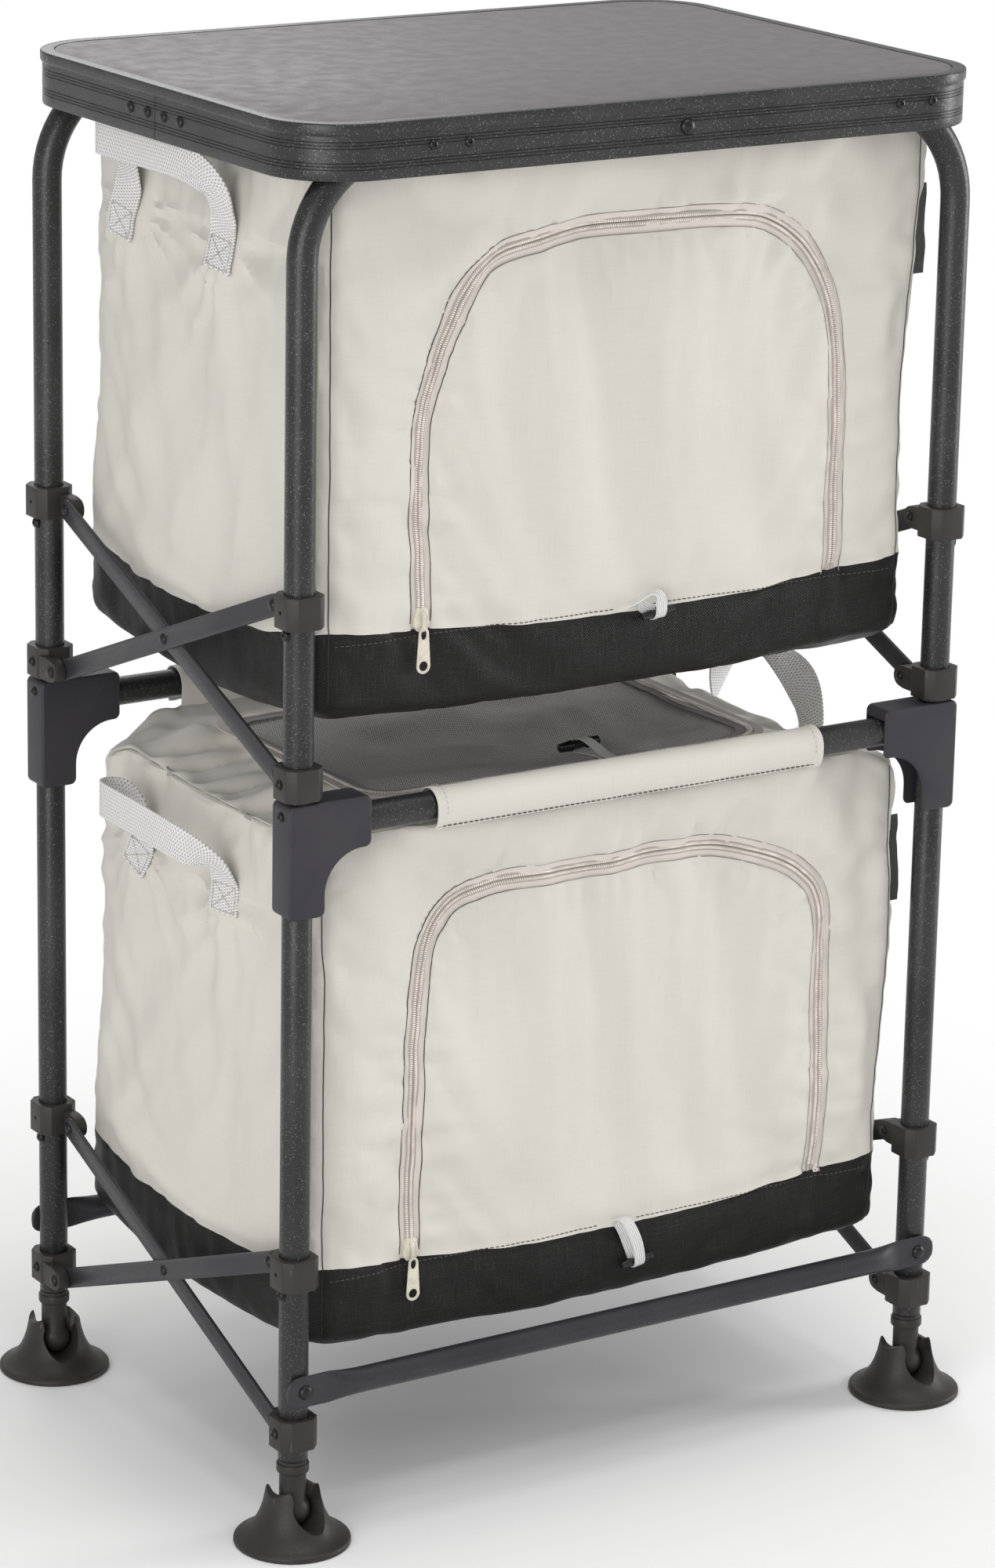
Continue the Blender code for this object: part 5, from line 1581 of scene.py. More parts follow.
class CUPBOARD_OT_bags(CupboardOperator, bpy.types.Operator):
    """Hangs the two padded bags, lets their cloth settle and cuts them apart along their seams"""

    bl_idname = "cupboard.bags"
    bl_label = "Bags"

    def execute(self, context):
        for level in LEVELS:
            self.make_bag(level)
        return {"FINISHED"}

    def make_bag(self, level):
        plain = self.gridded_box(level)
        rest = mesh_points(plain)
        hung = plain.copy()
        move_points(hung, self.hang(rest, level))
        seams = self.seam_distance(rest, level)
        settled = hung.copy()
        move_points(settled, self.settle(hung, rest, seams, level))
        once = {"levels": 1, "render_levels": 1}
        fine = applied(plain, [("SUBSURF", {**once, "subdivision_type": "SIMPLE"})])
        shape, final = (applied(mesh, [("SUBSURF", once)]) for mesh in (hung, settled))
        rest, shape_points = mesh_points(fine), mesh_points(shape)
        points = mesh_points(final) + self.creases(final, rest, shape_points, level)
        self.cut_apart(fine, rest, shape_points, points, level)

    def gridded_box(self, level):
        """The bag as a plain box of small square cells, with a row of cells that ends at the band's top."""
        foot, top, band = BAG_FOOT[level], BAG_TOP[level], BAND_TOP[level]
        bm = bmesh.new()
        box_into(bm, (-BAG_HALF_X, -BAG_FACE_Y, foot), (BAG_HALF_X, BAG_FACE_Y, top))
        spans = [
            (0, -BAG_HALF_X, -SEAM_X, 1), (0, -SEAM_X, SEAM_X, 0), (0, SEAM_X, BAG_HALF_X, 1),
            (1, -BAG_FACE_Y, BAG_FACE_Y, 0), (2, foot, band, 0), (2, band, top, 0),
        ]
        for axis, level_at in ((2, band), (0, -SEAM_X), (0, SEAM_X)):
            normal = [0, 0, 0]
            normal[axis] = 1
            place = [v * level_at for v in normal]
            bmesh.ops.bisect_plane(
                bm, geom=bm.verts[:] + bm.edges[:] + bm.faces[:], plane_co=place, plane_no=normal
            )
        for axis, low, high, least in spans:
            edges = [
                e for e in bm.edges
                if abs(e.verts[0].co[axis] - e.verts[1].co[axis]) > NEAR
                and low - NEAR < min(e.verts[0].co[axis], e.verts[1].co[axis])
                and max(e.verts[0].co[axis], e.verts[1].co[axis]) < high + NEAR
            ]
            cuts = max(least, round((high - low) / BAG_CELL)) - 1
            if cuts > 0:
                bmesh.ops.subdivide_edges(bm, edges=edges, cuts=cuts, use_grid_fill=True)
        bmesh.ops.recalc_face_normals(bm, faces=bm.faces)
        return to_mesh(bm, f"{level}_box")

    def hang(self, rest, level):
        """Where the points of the plain box lie on the bag as it hangs from its rails."""
        foot, top, rail = BAG_FOOT[level], BAG_TOP[level], RAIL_Z[level]
        x, y, z = rest.T
        a, b, h = x / BAG_HALF_X, y / BAG_FACE_Y, (z - foot) / (top - foot)
        width = np.abs(x)
        slack = 1.0 if level == "lower" else 0.15
        top_radius = 0.006 + 0.005 * slack * ease(width, 0.165, 0.225)
        radius = np.stack(
            [np.full_like(x, 0.008), np.full_like(x, 0.008), np.where(h > 0.5, top_radius, 0.010)], 1
        )
        half = np.array([BAG_HALF_X, BAG_FACE_Y, (top - foot) / 2])
        centre = np.array([0, 0, (top + foot) / 2])
        core = np.clip(rest - centre, radius - half, half - radius)
        bent = (rest - centre - core) / radius
        bent /= np.linalg.norm(bent, axis=1)[:, None]
        out = centre + core + bent * radius
        fore = ease(-b, 0.0, 1.0)
        flare = 0.011 * ease(h, 0.45, 0.95) if level == "upper" else 0.009 * ease(h, 0.2, 0.55)
        corner = 0.009 * ease(-x, SEAM_X - 0.001, BAG_HALF_X) * ease(-b, 0.75, 1.0)
        out[:, 0] *= 1 + (
            np.where(x > 0, flare * fore, 0) - 0.007 * (1 - fore) * ease(h, 0.2, 0.55)
        ) / BAG_HALF_X
        out[:, 0] -= corner
        shoulder = slack * ease(width, 0.205, 0.25) * ease(h, 0.62, 1.0)
        out[:, 2] -= shoulder * (
            0.006 + 0.011 * (1 - b ** 2) + np.where(y > 0, 0.018, 0.008) * ease(np.abs(y), 0.125, 0.176)
        )
        behind = slack * ease(width, 0.200, 0.222) * ease(z, rail - 0.125, rail - 0.09)
        behind = behind * ease(np.abs(b), 0.85, 1.0)
        out[:, 1] -= np.sign(y) * 0.0048 * behind
        low = 1 - ease(h, 0.05, 0.8)
        bulge_x, bulge_y = (np.clip(1 - share ** 2, 0, 1) ** 0.8 for share in (a, b))
        out[:, 2] += low * (0.009 - 0.012 * bulge_x * b ** 2 - 0.019 * bulge_y)
        belly = ease(width, 0.22, 0.25) * (1 - b ** 2) * ease(h, 0, 0.15) * (1 - ease(h, 0.2, 0.6))
        out[:, 0] += np.sign(x) * 0.006 * belly
        lean = ease(z, rail - 0.055, rail - 0.016) * (1 - ease(width, 0.165, 0.19))
        lean = lean * ease(np.abs(b), 0.9, 1.0)
        out[:, 1] += np.sign(y) * 0.0115 * lean
        return out

    def seam_distance(self, rest, level):
        """For each point of the plain box, how far its nearest seam is."""
        x, y, z = rest.T
        foot, top, band = BAG_FOOT[level], BAG_TOP[level], BAND_TOP[level]
        on_x = np.abs(np.abs(x) - BAG_HALF_X) < NEAR
        on_y = np.abs(np.abs(y) - BAG_FACE_Y) < NEAR
        on_top = np.abs(z - top) < NEAR
        on_foot = np.abs(z - foot) < NEAR
        distance = np.full(len(rest), 1.0)
        to_side, to_end = BAG_HALF_X - np.abs(x), BAG_FACE_Y - np.abs(y)
        upright = np.abs(z - band)
        distance = np.where(on_y, np.minimum.reduce([np.abs(np.abs(x) - SEAM_X), top - z, upright]), distance)
        distance = np.where(on_x, np.minimum.reduce([distance, top - z, upright, to_end]), distance)
        lid = np.maximum(np.abs(x) - LID_HALF[0], np.abs(y) - LID_HALF[1])
        distance = np.where(on_top, np.minimum.reduce([distance, to_side, to_end, np.abs(lid)]), distance)
        distance = np.where(on_foot, np.minimum.reduce([distance, to_side, to_end]), distance)
        front = on_y & (y < 0)
        gap, _, _ = to_line(rest[:, [0, 2]], smooth_line(ZIP_LINES[level], 0.004))
        return np.where(front, np.minimum(distance, gap), distance)

    def settle(self, hung, rest, seams, level):
        """Lets the cloth sag and pucker between its seams, and limits how far a point may go."""
        x, y, z = rest.T
        top = BAG_TOP[level]
        start = mesh_points(hung)
        on_top = np.abs(z - top) < NEAR
        lid = np.maximum(np.abs(x) - LID_HALF[0], np.abs(y) - LID_HALF[1])
        pins = np.where(seams < 0.0042, 1.0, 0.0)
        band = np.abs(z - BAND_TOP[level]) < 0.0042
        edges = (np.abs(np.abs(x) - BAG_HALF_X) < NEAR).astype(int) + (np.abs(np.abs(y) - BAG_FACE_Y) < NEAR)
        pins[band & (edges < 2) & (np.abs(np.abs(x) - SEAM_X) > 0.005)] = 0.0
        pins[on_top & (lid < 0.002)] = 1.0
        pins[(edges >= 2)] = 1.0
        fullness = np.exp(-((seams / 0.026) ** 2))
        fullness[on_top & (lid > 0)] = 1.0
        uneven = start + mesh_normals(hung) * (0.0009 * waves(start, 0.018, 3))[:, None]
        trial = hung.copy()
        move_points(trial, uneven)
        ended = cloth_run(trial, pins, fullness, 1.5, 0.8, (0.010, 0.085), 0.15, 26)
        shift = ended - start
        length = np.linalg.norm(shift, axis=1)
        cap = np.where(on_top, 0.012, 0.010)
        return start + shift * (cap * np.tanh(length / cap) / np.maximum(length, 1e-9))[:, None]

    def creases(self, mesh, rest, shape, level):
        """The shape that the solver's cells are too coarse for: grooves at seams, puckers and slow waves."""
        normals = mesh_normals(mesh)
        x, y, z = rest.T
        top, band, rail = BAG_TOP[level], BAND_TOP[level], RAIL_Z[level]
        on_y = np.abs(np.abs(y) - BAG_FACE_Y) < NEAR
        on_x = np.abs(np.abs(x) - BAG_HALF_X) < NEAR
        on_top = np.abs(z - top) < NEAR
        push = 0.0016 * waves(shape, 0.075, 1) + 0.0006 * waves(shape, 0.022, 2)
        middle_share = ease(z, band, band + 0.05) * ease(top - z, 0.0, 0.05)
        to_side, to_end = BAG_HALF_X - np.abs(x), BAG_FACE_Y - np.abs(y)
        middle_share *= np.where(on_x, ease(to_end, 0, 0.03), ease(to_side, 0.009, 0.03))
        front_folds = np.stack([x / 0.048 + z / 0.30, y * 3, z / 0.26], 1)
        push += np.where(on_y, 0.0085 * waves(front_folds, 1.0, 12) * middle_share, 0)
        broad = np.stack([x / 0.11 - z / 0.4, y * 3, z / 0.16], 1)
        push += np.where(on_y, 0.0090 * waves(broad, 1.0, 15) * middle_share, 0)
        side_folds = np.stack([x * 3, y / 0.045 - z / 0.14, z / 0.20], 1)
        push += np.where(on_x, 0.0045 * waves(side_folds, 1.0, 13) * middle_share, 0)
        long_folds = np.stack([x * 3, y / 0.07 + z / 0.11, z / 0.30 - y / 0.2], 1)
        push -= np.where(on_x, 0.0032 * puffs(long_folds, 1.0, 14) * middle_share, 0)
        seam = np.abs(np.abs(x) - SEAM_X)
        push -= np.where(on_y, 0.0010 * np.exp(-((seam / 0.0022) ** 2)), 0)
        ridged = np.stack([np.sign(x) * 0.5 + y * 2, seam / 0.05, z / 0.020], 1)
        push += np.where(
            on_y, 0.0020 * puffs(ridged, 1.0, 5) * np.exp(-seam / 0.016) * ease(seam, 0, 0.006), 0
        )
        edge = np.abs(top - z)
        across_top = np.stack([y / 0.030 - edge / 0.07, edge / 0.05, x * 3], 1)
        push += np.where(
            on_x, 0.0060 * puffs(across_top, 1.0, 6) * np.exp(-edge / 0.032) * ease(edge, 0, 0.008), 0
        )
        top_lines = np.stack([y / 0.034 + to_side / 0.09, to_side / 0.08, x * 3], 1)
        beside_lid = np.abs(x) - LID_HALF[0]
        top_share = ease(to_side, 0, 0.016) * ease(beside_lid, 0.002, 0.02)
        lifted = np.where(x < 0, 0.0090, 0.0035) * puffs(top_lines, 1.0, 7) * top_share
        push += np.where(on_top & (beside_lid > 0), lifted, 0)
        push -= np.where(on_x & ~on_y, 0.0038 * np.exp(-((edge / 0.0030) ** 2)), 0)
        for pinch_y in (0.078, -0.050, -0.135):
            pinch = np.exp(-(((y - pinch_y) / 0.009) ** 2) - np.where(on_top, to_side, edge) / 0.024)
            push -= np.where((on_x | on_top) & (beside_lid > 0), 0.0036 * pinch, 0)
        hem = band - z
        wall = (on_y | on_x) & (z < band + NEAR)
        push += np.where(wall, 0.0008, 0)
        hinge = on_y & (y < 0) & (np.abs(x) < 0.2)
        push -= np.where(hinge, np.where(hem > 0, 0.0026, 0.0020) * np.exp(-((hem / 0.010) ** 2)), 0)
        under = np.stack([x / 0.028 + y / 0.028, hem / 0.06, x * 0], 1)
        push += np.where(
            (on_y | on_x) & (z > band), 0.0018 * puffs(under, 1.0, 8) * np.exp(-np.abs(hem) / 0.018), 0
        )
        front = on_y & (y < 0)
        gap, along, side = to_line(shape[:, [0, 2]], smooth_line(ZIP_LINES[level], 0.004))
        beyond = np.maximum(gap - ZIP_REACH, 0)
        rays = np.stack([along / 0.022 + side * 3, beyond / 0.07, side], 1)
        near_zip = ease(along, 0.0, 0.03)
        ray_share = np.exp(-beyond / 0.022) * ease(beyond, 0, 0.006) * near_zip
        push += np.where(front & (z > band), 0.0046 * puffs(rays, 1.0, 9) * ray_share, 0)
        push -= np.where(front & (z > band), 0.0010 * np.exp(-beyond / 0.004), 0)
        for handle_y, handle_z in ((0.111, rail - 0.088), (-0.033, rail - 0.090)):
            dy, dz = y - handle_y, z - handle_z
            reach = np.hypot(dy, dz)
            angle = np.arctan2(dz, dy)
            turn = np.stack([np.cos(angle) * 1.9, np.sin(angle) * 1.9, reach * 0], 1)
            fan = puffs(turn, 1.0, 10 + handle_y) * np.exp(-reach / 0.085)
            fan *= ease(reach, 0.010, 0.034)
            push -= np.where(on_x & (z < handle_z + 0.01), 0.0080 * fan, 0)
            lift = np.exp(-(((y - handle_y - 0.012) / 0.024) ** 2) - (((z - handle_z + 0.01) / 0.034) ** 2))
            push += np.where(on_x, 0.0075 * lift, 0)
        return normals * push[:, None]

    def cut_apart(self, mesh, rest, shape, points, level):
        foot, top, band = BAG_FOOT[level], BAG_TOP[level], BAND_TOP[level]
        self.line = smooth_line(ZIP_LINES[level], 0.002)
        front = np.abs(rest[:, 1] + BAG_FACE_Y) < NEAR
        gap, _, side = to_line(shape[:, [0, 2]], self.line)
        signed = gap * -side
        corners = np.empty(len(mesh.loops), int)
        mesh.loops.foreach_get("vertex_index", corners)
        quads = corners.reshape(-1, 4)
        points = self.snap_to_zip(points, shape, front & (rest[:, 2] > band - NEAR), signed, quads)
        centre = rest[quads].mean(1)
        normal = np.cross(rest[quads[:, 1]] - rest[quads[:, 0]], rest[quads[:, 2]] - rest[quads[:, 0]])
        axis = np.abs(normal).argmax(1)
        region = np.zeros(len(quads), int)
        ends = (axis == 1) & (np.abs(centre[:, 0]) < SEAM_X)
        region[ends & (centre[:, 1] < 0)] = 1
        region[ends & (centre[:, 1] > 0)] = 3
        gap_face = signed[quads].mean(1)
        flap = (region == 1) & (centre[:, 2] > band)
        region[flap & (gap_face > ZIP_REACH)] = 2
        region[flap & (np.abs(gap_face) <= ZIP_REACH)] = 9
        lid = (axis == 2) & (centre[:, 2] > foot + 0.1)
        region[lid & self.in_lid(centre, 0.004)] = 9
        banded = ((axis != 2) & (centre[:, 2] < band)) | ((axis == 2) & (centre[:, 2] < foot + 0.1))
        move_points(mesh, points)
        self.add_cut_map(mesh, rest, quads, axis, band)
        mesh.polygons.foreach_set("material_index", banded.astype(np.int32))
        SHELLS[level] = BVHTree.FromPolygons([Vector(p) for p in points], quads.tolist())
        for end, side in itertools.product(ENDS, SIDES):
            place = np.array([SIDES[side] * SEAM_X, ENDS[end] * BAG_FACE_Y])
            line = np.where(np.abs(rest[:, :2] - place).max(1) < NEAR)[0]
            SEAMS[level, end, side] = [Vector(points[i]) for i in line[np.argsort(rest[line, 2])]]
        for side in SIDES:
            line = np.where(np.abs(rest[:, [0, 2]] - [SIDES[side] * BAG_HALF_X, top]).max(1) < NEAR)[0]
            SEAMS[level, "top", side] = [Vector(points[i]) for i in line[np.argsort(rest[line, 1])]]
        rides = (
            ("tub_shell", 0, "back_frame", f"{level}_bag_tub"),
            ("front_panel", 1, "front_frame", f"{level}_bag_front"),
            ("door_panel", 2, f"{level}_door", f"{level}_bag_door"),
            ("back_panel", 3, "back_frame", f"{level}_bag_back"),
        )
        for name, number, body, node in rides:
            bm = bmesh.new()
            bm.from_mesh(mesh)
            bm.faces.ensure_lookup_table()
            gone = [bm.faces[i] for i in np.where(region != number)[0]]
            bmesh.ops.delete(bm, geom=gone, context="FACES")
            piece = to_mesh(bm, name)
            outer_faces = len(piece.polygons)
            piece = applied(piece, [("SOLIDIFY", {"thickness": CLOTH_THICKNESS, "offset": -1})])
            kinds = np.empty(len(piece.polygons), np.int32)
            piece.polygons.foreach_get("material_index", kinds)
            kinds[outer_faces:2 * outer_faces] = 2
            piece.polygons.foreach_set("material_index", kinds)
            obj = finish_mesh(
                piece, f"{level}_bag_{name}", ("cloth", "band", "lining"), body, [node]
            )
            if number == 0:
                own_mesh(obj)

    def in_lid(self, centre, inset):
        """Whether a point on top lies inside the lid's opening, which has round corners."""
        x = np.abs(centre[:, 0]) - (LID_HALF[0] - inset - LID_CORNER)
        y = np.abs(centre[:, 1]) - (LID_HALF[1] - inset - LID_CORNER)
        return np.hypot(np.maximum(x, 0), np.maximum(y, 0)) < LID_CORNER

    def snap_to_zip(self, points, shape, chosen, signed, quads):
        """Moves the points where the cloth ends at a zip onto the gap's edges, for a smooth cut."""
        step = 1e-4
        out = points.copy()
        wall = chosen[quads].all(1)
        zone = np.digitize(signed[quads].mean(1), (-ZIP_REACH, ZIP_REACH))
        inside = np.zeros(len(points), bool)
        inside[quads[wall & (zone == 1)].ravel()] = True
        for outer_zone, edge in ((0, -ZIP_REACH), (2, ZIP_REACH)):
            beyond = np.zeros(len(points), bool)
            beyond[quads[wall & (zone == outer_zone)].ravel()] = True
            near = inside & beyond & chosen & (np.abs(signed - edge) < 0.006)
            base = shape[near][:, [0, 2]]
            slope = np.stack([self.slope(base, np.array(v)) for v in ((step, 0), (0, step))], 1) / (2 * step)
            slope /= np.maximum(np.linalg.norm(slope, axis=1), 1e-9)[:, None]
            out[np.ix_(near, [0, 2])] = base - slope * (signed[near] - edge)[:, None]
        return out

    def slope(self, base, shift):
        distance = []
        for sign in (1, -1):
            gap, _, side = to_line(base + sign * shift, self.line)
            distance.append(gap * -side)
        return distance[0] - distance[1]

    def add_cut_map(self, mesh, rest, quads, axis, band):
        """The UV map in metres of the flat cloth, with the band's top at zero on the walls."""
        corners = rest[quads]
        flat = np.empty((len(quads), 4, 2))
        for number, (across, up) in enumerate(((1, 2), (0, 2), (0, 1))):
            chosen = axis == number
            flat[chosen] = corners[chosen][:, :, [across, up]]
            if up == 2:
                flat[chosen, :, 1] -= band
        layer = mesh.uv_layers.new(name="cut")
        layer.data.foreach_set("uv", flat.astype(np.float32).ravel())


class CUPBOARD_OT_zips(CupboardOperator, bpy.types.Operator):
    """Models the doors' zips: tapes, coils, sliders and pulls"""

    bl_idname = "cupboard.zips"
    bl_label = "Zips"

    def execute(self, context):
        for level in LEVELS:
            line = smooth_line(ZIP_LINES[level], 0.0035)
            for name, side, body in (("outer", 1, "front_frame"), ("inner", -1, f"{level}_door")):
                self.make_tape(level, line, name, side, body)
                self.make_teeth(level, name, side, body)
                self.make_fold_shade_line(level, line, name, side, body)
            self.make_slider(level)
            self.make_pull(level)
        return {"FINISHED"}

    def beside(self, line, i, offset):
        """The point at this distance from the line, on its outer side where the distance is positive."""
        along = heading(line, i)
        return line[i] + Vector((-along.y, along.x)) * offset

    def make_tape(self, level, line, name, side, body):
        stations = []
        for i in range(len(line)):
            near, far = (
                on_front(level, *self.beside(line, i, side * offset))[0]
                for offset in (0.0002, ZIP_REACH + 0.0018)
            )
            stations.append(((near + far) / 2 + Vector((0, 0.0014, 0)), far - near + Vector((0, 0.0010, 0))))
        bm = bmesh.new()
        ribbon(bm, stations, ZIP_REACH + 0.0016, 0.0007)
        finish_piece(bm, f"{level}_zip_{name}_tape", "tape", body, [])
        # A darker strip under each coil: painted shade between the coil's turns.
        bm = bmesh.new()
        inner = []
        for i in range(len(line)):
            near, far = (self.beside(line, i, side * offset) for offset in (0.0022, 0.0044))
            place, far = on_front(level, *near)[0], on_front(level, *far)[0]
            inner.append((place + Vector((0, 0.0004, 0)), far - place))
        ribbon(bm, inner, 0.0042, 0.0006)
        finish_piece(bm, f"{level}_zip_{name}_coil_tape", "coil_painted_shade", body, [])

    def make_fold_shade_line(self, level, line, name, side, body):
        """A thin dark line of painted shade where the cloth is folded under along the zip."""
        points = []
        for i in range(2, len(line)):
            place, normal = on_front(level, *self.beside(line, i, side * (ZIP_REACH + 0.0004)))
            points.append(place + normal * 0.00005)
        bm = bmesh.new()
        thread_into(bm, points, (0, 1, 0), 0.0004, 6)
        finish_piece(bm, f"{level}_zip_{name}_thread", "fold", body, [])

    def make_teeth(self, level, name, side, body):
        """One row of coil turns, each a short bar that leans across the tape's edge."""
        line = smooth_line(ZIP_LINES[level], 0.0016)
        places = []
        for i in range(6 if side > 0 else 7, len(line) - 5):
            middle_point = line[i] if side > 0 else (line[i] + line[i - 1]) / 2
            along = heading(line, i)
            across = Vector((-along.y, along.x)) * side
            centre = middle_point + across * 0.0019
            place, normal = on_front(level, *centre)
            lean = (across + along * 0.28).normalized()
            bar = Vector((lean.x, 0, lean.y))
            places.append(Matrix.Translation(place + normal * 0.0002) @ basis(bar, normal, bar.cross(normal)))
        bm = bmesh.new()
        repeat_into(bm, tooth_shape(0.0027, 0.0013, 0.0020), places)
        finish_piece(bm, f"{level}_zip_{name}_coil", "coil", body, [], sharp=80, clean=False)

    def make_slider(self, level):
        x, z = ZIP_LINES[level][0]
        x += 0.0005
        face = on_front(level, x, z + 0.008)[0].y - 0.0004
        outline = [
            (-0.0046, 0.0178), (0.0046, 0.0178), (0.0066, 0.0075), (0.0062, 0.0040), (0.0036, 0.0008),
            (-0.0036, 0.0008), (-0.0062, 0.0040), (-0.0066, 0.0075),
        ]
        bm = bmesh.new()
        flat_face(bm, [(x + dx, z + dz) for dx, dz in outline], "Y", face - 0.0022)
        extrude_faces(bm, (0, 0.0034, 0))
        soften_edges(bm, 0.0005, 2, least=25)
        bridge = [
            (0.0150, -0.0021), (0.0138, -0.0036), (0.0105, -0.0046), (0.0060, -0.0049), (0.0022, -0.0044),
            (0.0008, -0.0030), (0.0006, -0.0018),
        ]
        ribbon(bm, [((x, face + dy, z + dz), (1, 0, 0)) for dz, dy in bridge], 0.0030, 0.0011)
        finish_piece(bm, f"{level}_zip_slider", "enamel", "front_frame", [], sharp=50)

    def make_pull(self, level):
        node = f"{level}_zip_pull"
        low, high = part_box(node)
        x, pivot, end = ZIP_LINES[level][0][0] + 0.0005, BAND_TOP[level], high.z - 0.0252
        head = arc_points((x, pivot - 0.0002), 0.0041, 0, 180, 12)
        outline = head + arc_points((x, end), 0.0057, 170, 370, 24)
        bm = bmesh.new()
        flat_face(bm, outline, "Y", low.y)
        extrude_faces(bm, (0, high.y - low.y, 0))
        holes = []
        for centre, wide, tall in (((x, end), 0.0036, 0.0036), ((x, pivot - 0.0012), 0.0023, 0.0038)):
            cutter = bmesh.new()
            rod_into(cutter, (0, -0.01, 0), (0, 0.01, 0), 1.0, 28)
            bmesh.ops.scale(cutter, vec=(wide, 1, tall), verts=cutter.verts)
            bmesh.ops.translate(cutter, vec=(centre[0], (low.y + high.y) / 2, centre[1]), verts=cutter.verts)
            holes.append(("DIFFERENCE", cutter))
        bm = joined(bm, *holes)
        soften_edges(bm, 0.00032, 2, least=60)
        finish_piece(bm, f"{node}_tab", "enamel", node, [node], sharp=50)


class CUPBOARD_OT_lids(CupboardOperator, bpy.types.Operator):
    """Models the mesh lids with their zips and the toggle on the lower one"""

    bl_idname = "cupboard.lids"
    bl_label = "Mesh Lids"

    def execute(self, context):
        for level in LEVELS:
            body = "lower_lid" if level == "lower" else "back_frame"
            mesh = self.make_mesh(level, body)
            self.make_border(level, "inner", 0.0085, 0.0085, body)
            self.make_border(level, "outer", -0.0030, 0.0080, "back_frame")
            self.make_teeth(level, body)
        self.make_toggle()
        return {"FINISHED"}

    def height(self, level, x, y):
        a, b = min(abs(x) / LID_HALF[0], 1), min(abs(y) / LID_HALF[1], 1)
        sag = 0.011 * (1 - a ** 2) * (1 - b ** 2)
        wave = 0.0075 * smooth_noise(Vector((x / 0.07, y / 0.05, 2 if level == "lower" else 8)))
        fine = 0.0020 * smooth_noise(Vector((x / 0.022, y / 0.022, 4)))
        inner = (1 - a ** 6) * (1 - b ** 6)
        return BAG_TOP[level] - 0.0012 - sag + (wave + fine) * inner

    def make_mesh(self, level, body):
        half_x, half_y = LID_HALF[0] - 0.003, LID_HALF[1] - 0.003
        bm = bmesh.new()
        bmesh.ops.create_grid(
            bm, x_segments=64, y_segments=44, size=1.0, matrix=Matrix.Diagonal((half_x, half_y, 1, 1)),
            calc_uvs=True
        )
        core_x, core_y = half_x - LID_CORNER, half_y - LID_CORNER
        outside = [
            v for v in bm.verts
            if math.hypot(max(abs(v.co.x) - core_x, 0), max(abs(v.co.y) - core_y, 0)) > LID_CORNER + 1e-6
        ]
        bmesh.ops.delete(bm, geom=outside, context="VERTS")
        cut = bm.loops.layers.uv.new("cut")
        for face in bm.faces:
            for loop in face.loops:
                loop[cut].uv = loop.vert.co.xy
        for vert in bm.verts:
            vert.co.z = self.height(level, vert.co.x, vert.co.y)
        mesh = applied(to_mesh(bm, "lid"), [("SOLIDIFY", {"thickness": 0.0008, "offset": -1})])
        obj = finish_mesh(mesh, f"{level}_bag_lid_mesh", ["mesh"], body, [f"{level}_bag_lid"])
        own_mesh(obj)
        return obj

    def outline(self, inset, spacing=0.004):
        half_x, half_y, radius = LID_HALF[0] - inset, LID_HALF[1] - inset, LID_CORNER - inset / 2
        points = []
        for cx, cy, start in ((1, 1, 0), (-1, 1, 90), (-1, -1, 180), (1, -1, 270)):
            points += arc_points(
                (cx * (half_x - radius), cy * (half_y - radius)), radius, start, start + 90, 10
            )
        points.append(points[0])
        dense = [Vector(points[0])]
        for target in points[1:]:
            gap = Vector(target) - dense[-1]
            count = max(1, round(gap.length / spacing))
            start = dense[-1].copy()
            dense += [start + gap * (i + 1) / count for i in range(count)]
        return dense

    def make_border(self, level, name, inset, wide, body):
        line = self.outline(inset)
        stations = []
        for i, point in enumerate(line):
            before, after = line[i - 1 if i else -2], line[i + 1 if i + 1 < len(line) else 1]
            along = (after - before).normalized()
            z = self.height(level, *point) + 0.0014 if inset > 0 else BAG_TOP[level] + 0.0009
            stations.append(((point.x, point.y, z), (along.y, -along.x, 0)))
        bm = bmesh.new()
        ribbon(bm, stations, wide, 0.0009)
        key = "grey_tape" if inset > 0 else "tape"
        obj = finish_piece(bm, f"{level}_bag_lid_{name}_tape", key, body, [])
        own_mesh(obj)

    def make_teeth(self, level, body):
        line = self.outline(0.0028, 0.0021)
        places = []
        for i in range(1, len(line) - 1):
            along = (line[i + 1] - line[i - 1]).normalized()
            across = Vector((along.y, -along.x, 0))
            place = (line[i].x, line[i].y, BAG_TOP[level] + 0.0012)
            places.append(Matrix.Translation(place) @ basis(across, UP, across.cross(UP)))
        bm = bmesh.new()
        repeat_into(bm, tooth_shape(0.0050, 0.0018, 0.0019), places)
        obj = finish_piece(bm, f"{level}_bag_lid_coil", "coil", body, [], sharp=80, clean=False)
        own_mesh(obj)

    def make_toggle(self):
        """The toggle and elastic that hold the lower lid rolled up."""
        xs, ys = (0.010, 0.018, 0.026, 0.034, 0.042), (-0.092, -0.084, -0.076)
        crest = max(self.height("lower", x, y) for x in xs for y in ys)
        place = Vector((0.026, -0.084, crest + 0.0085))
        obj = toggle_piece("lower_bag_lid_toggle", place, (1, 0.10, 0.02), "back_frame", 1.32)
        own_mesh(obj)
        top = BAG_TOP["lower"]
        path = [
            (0.031, -0.130, top + 0.0040), (0.031, -0.112, top + 0.0040), (0.029, -0.092, place.z + 0.0046),
            (0.026, -0.082, place.z + 0.0042), (0.026, -0.0795, place.z - 0.0010),
            (0.026, -0.084, place.z - 0.0048), (0.030, -0.108, top + 0.0016), (0.031, -0.130, top + 0.0018),
        ]
        bm = bmesh.new()
        ribbon(bm, [(p, (1, 0, 0)) for p in smooth_line(path, 0.0025)], 0.0095, 0.0009)
        obj = finish_piece(bm, "lower_bag_lid_elastic", "elastic", "back_frame", [])
        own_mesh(obj)


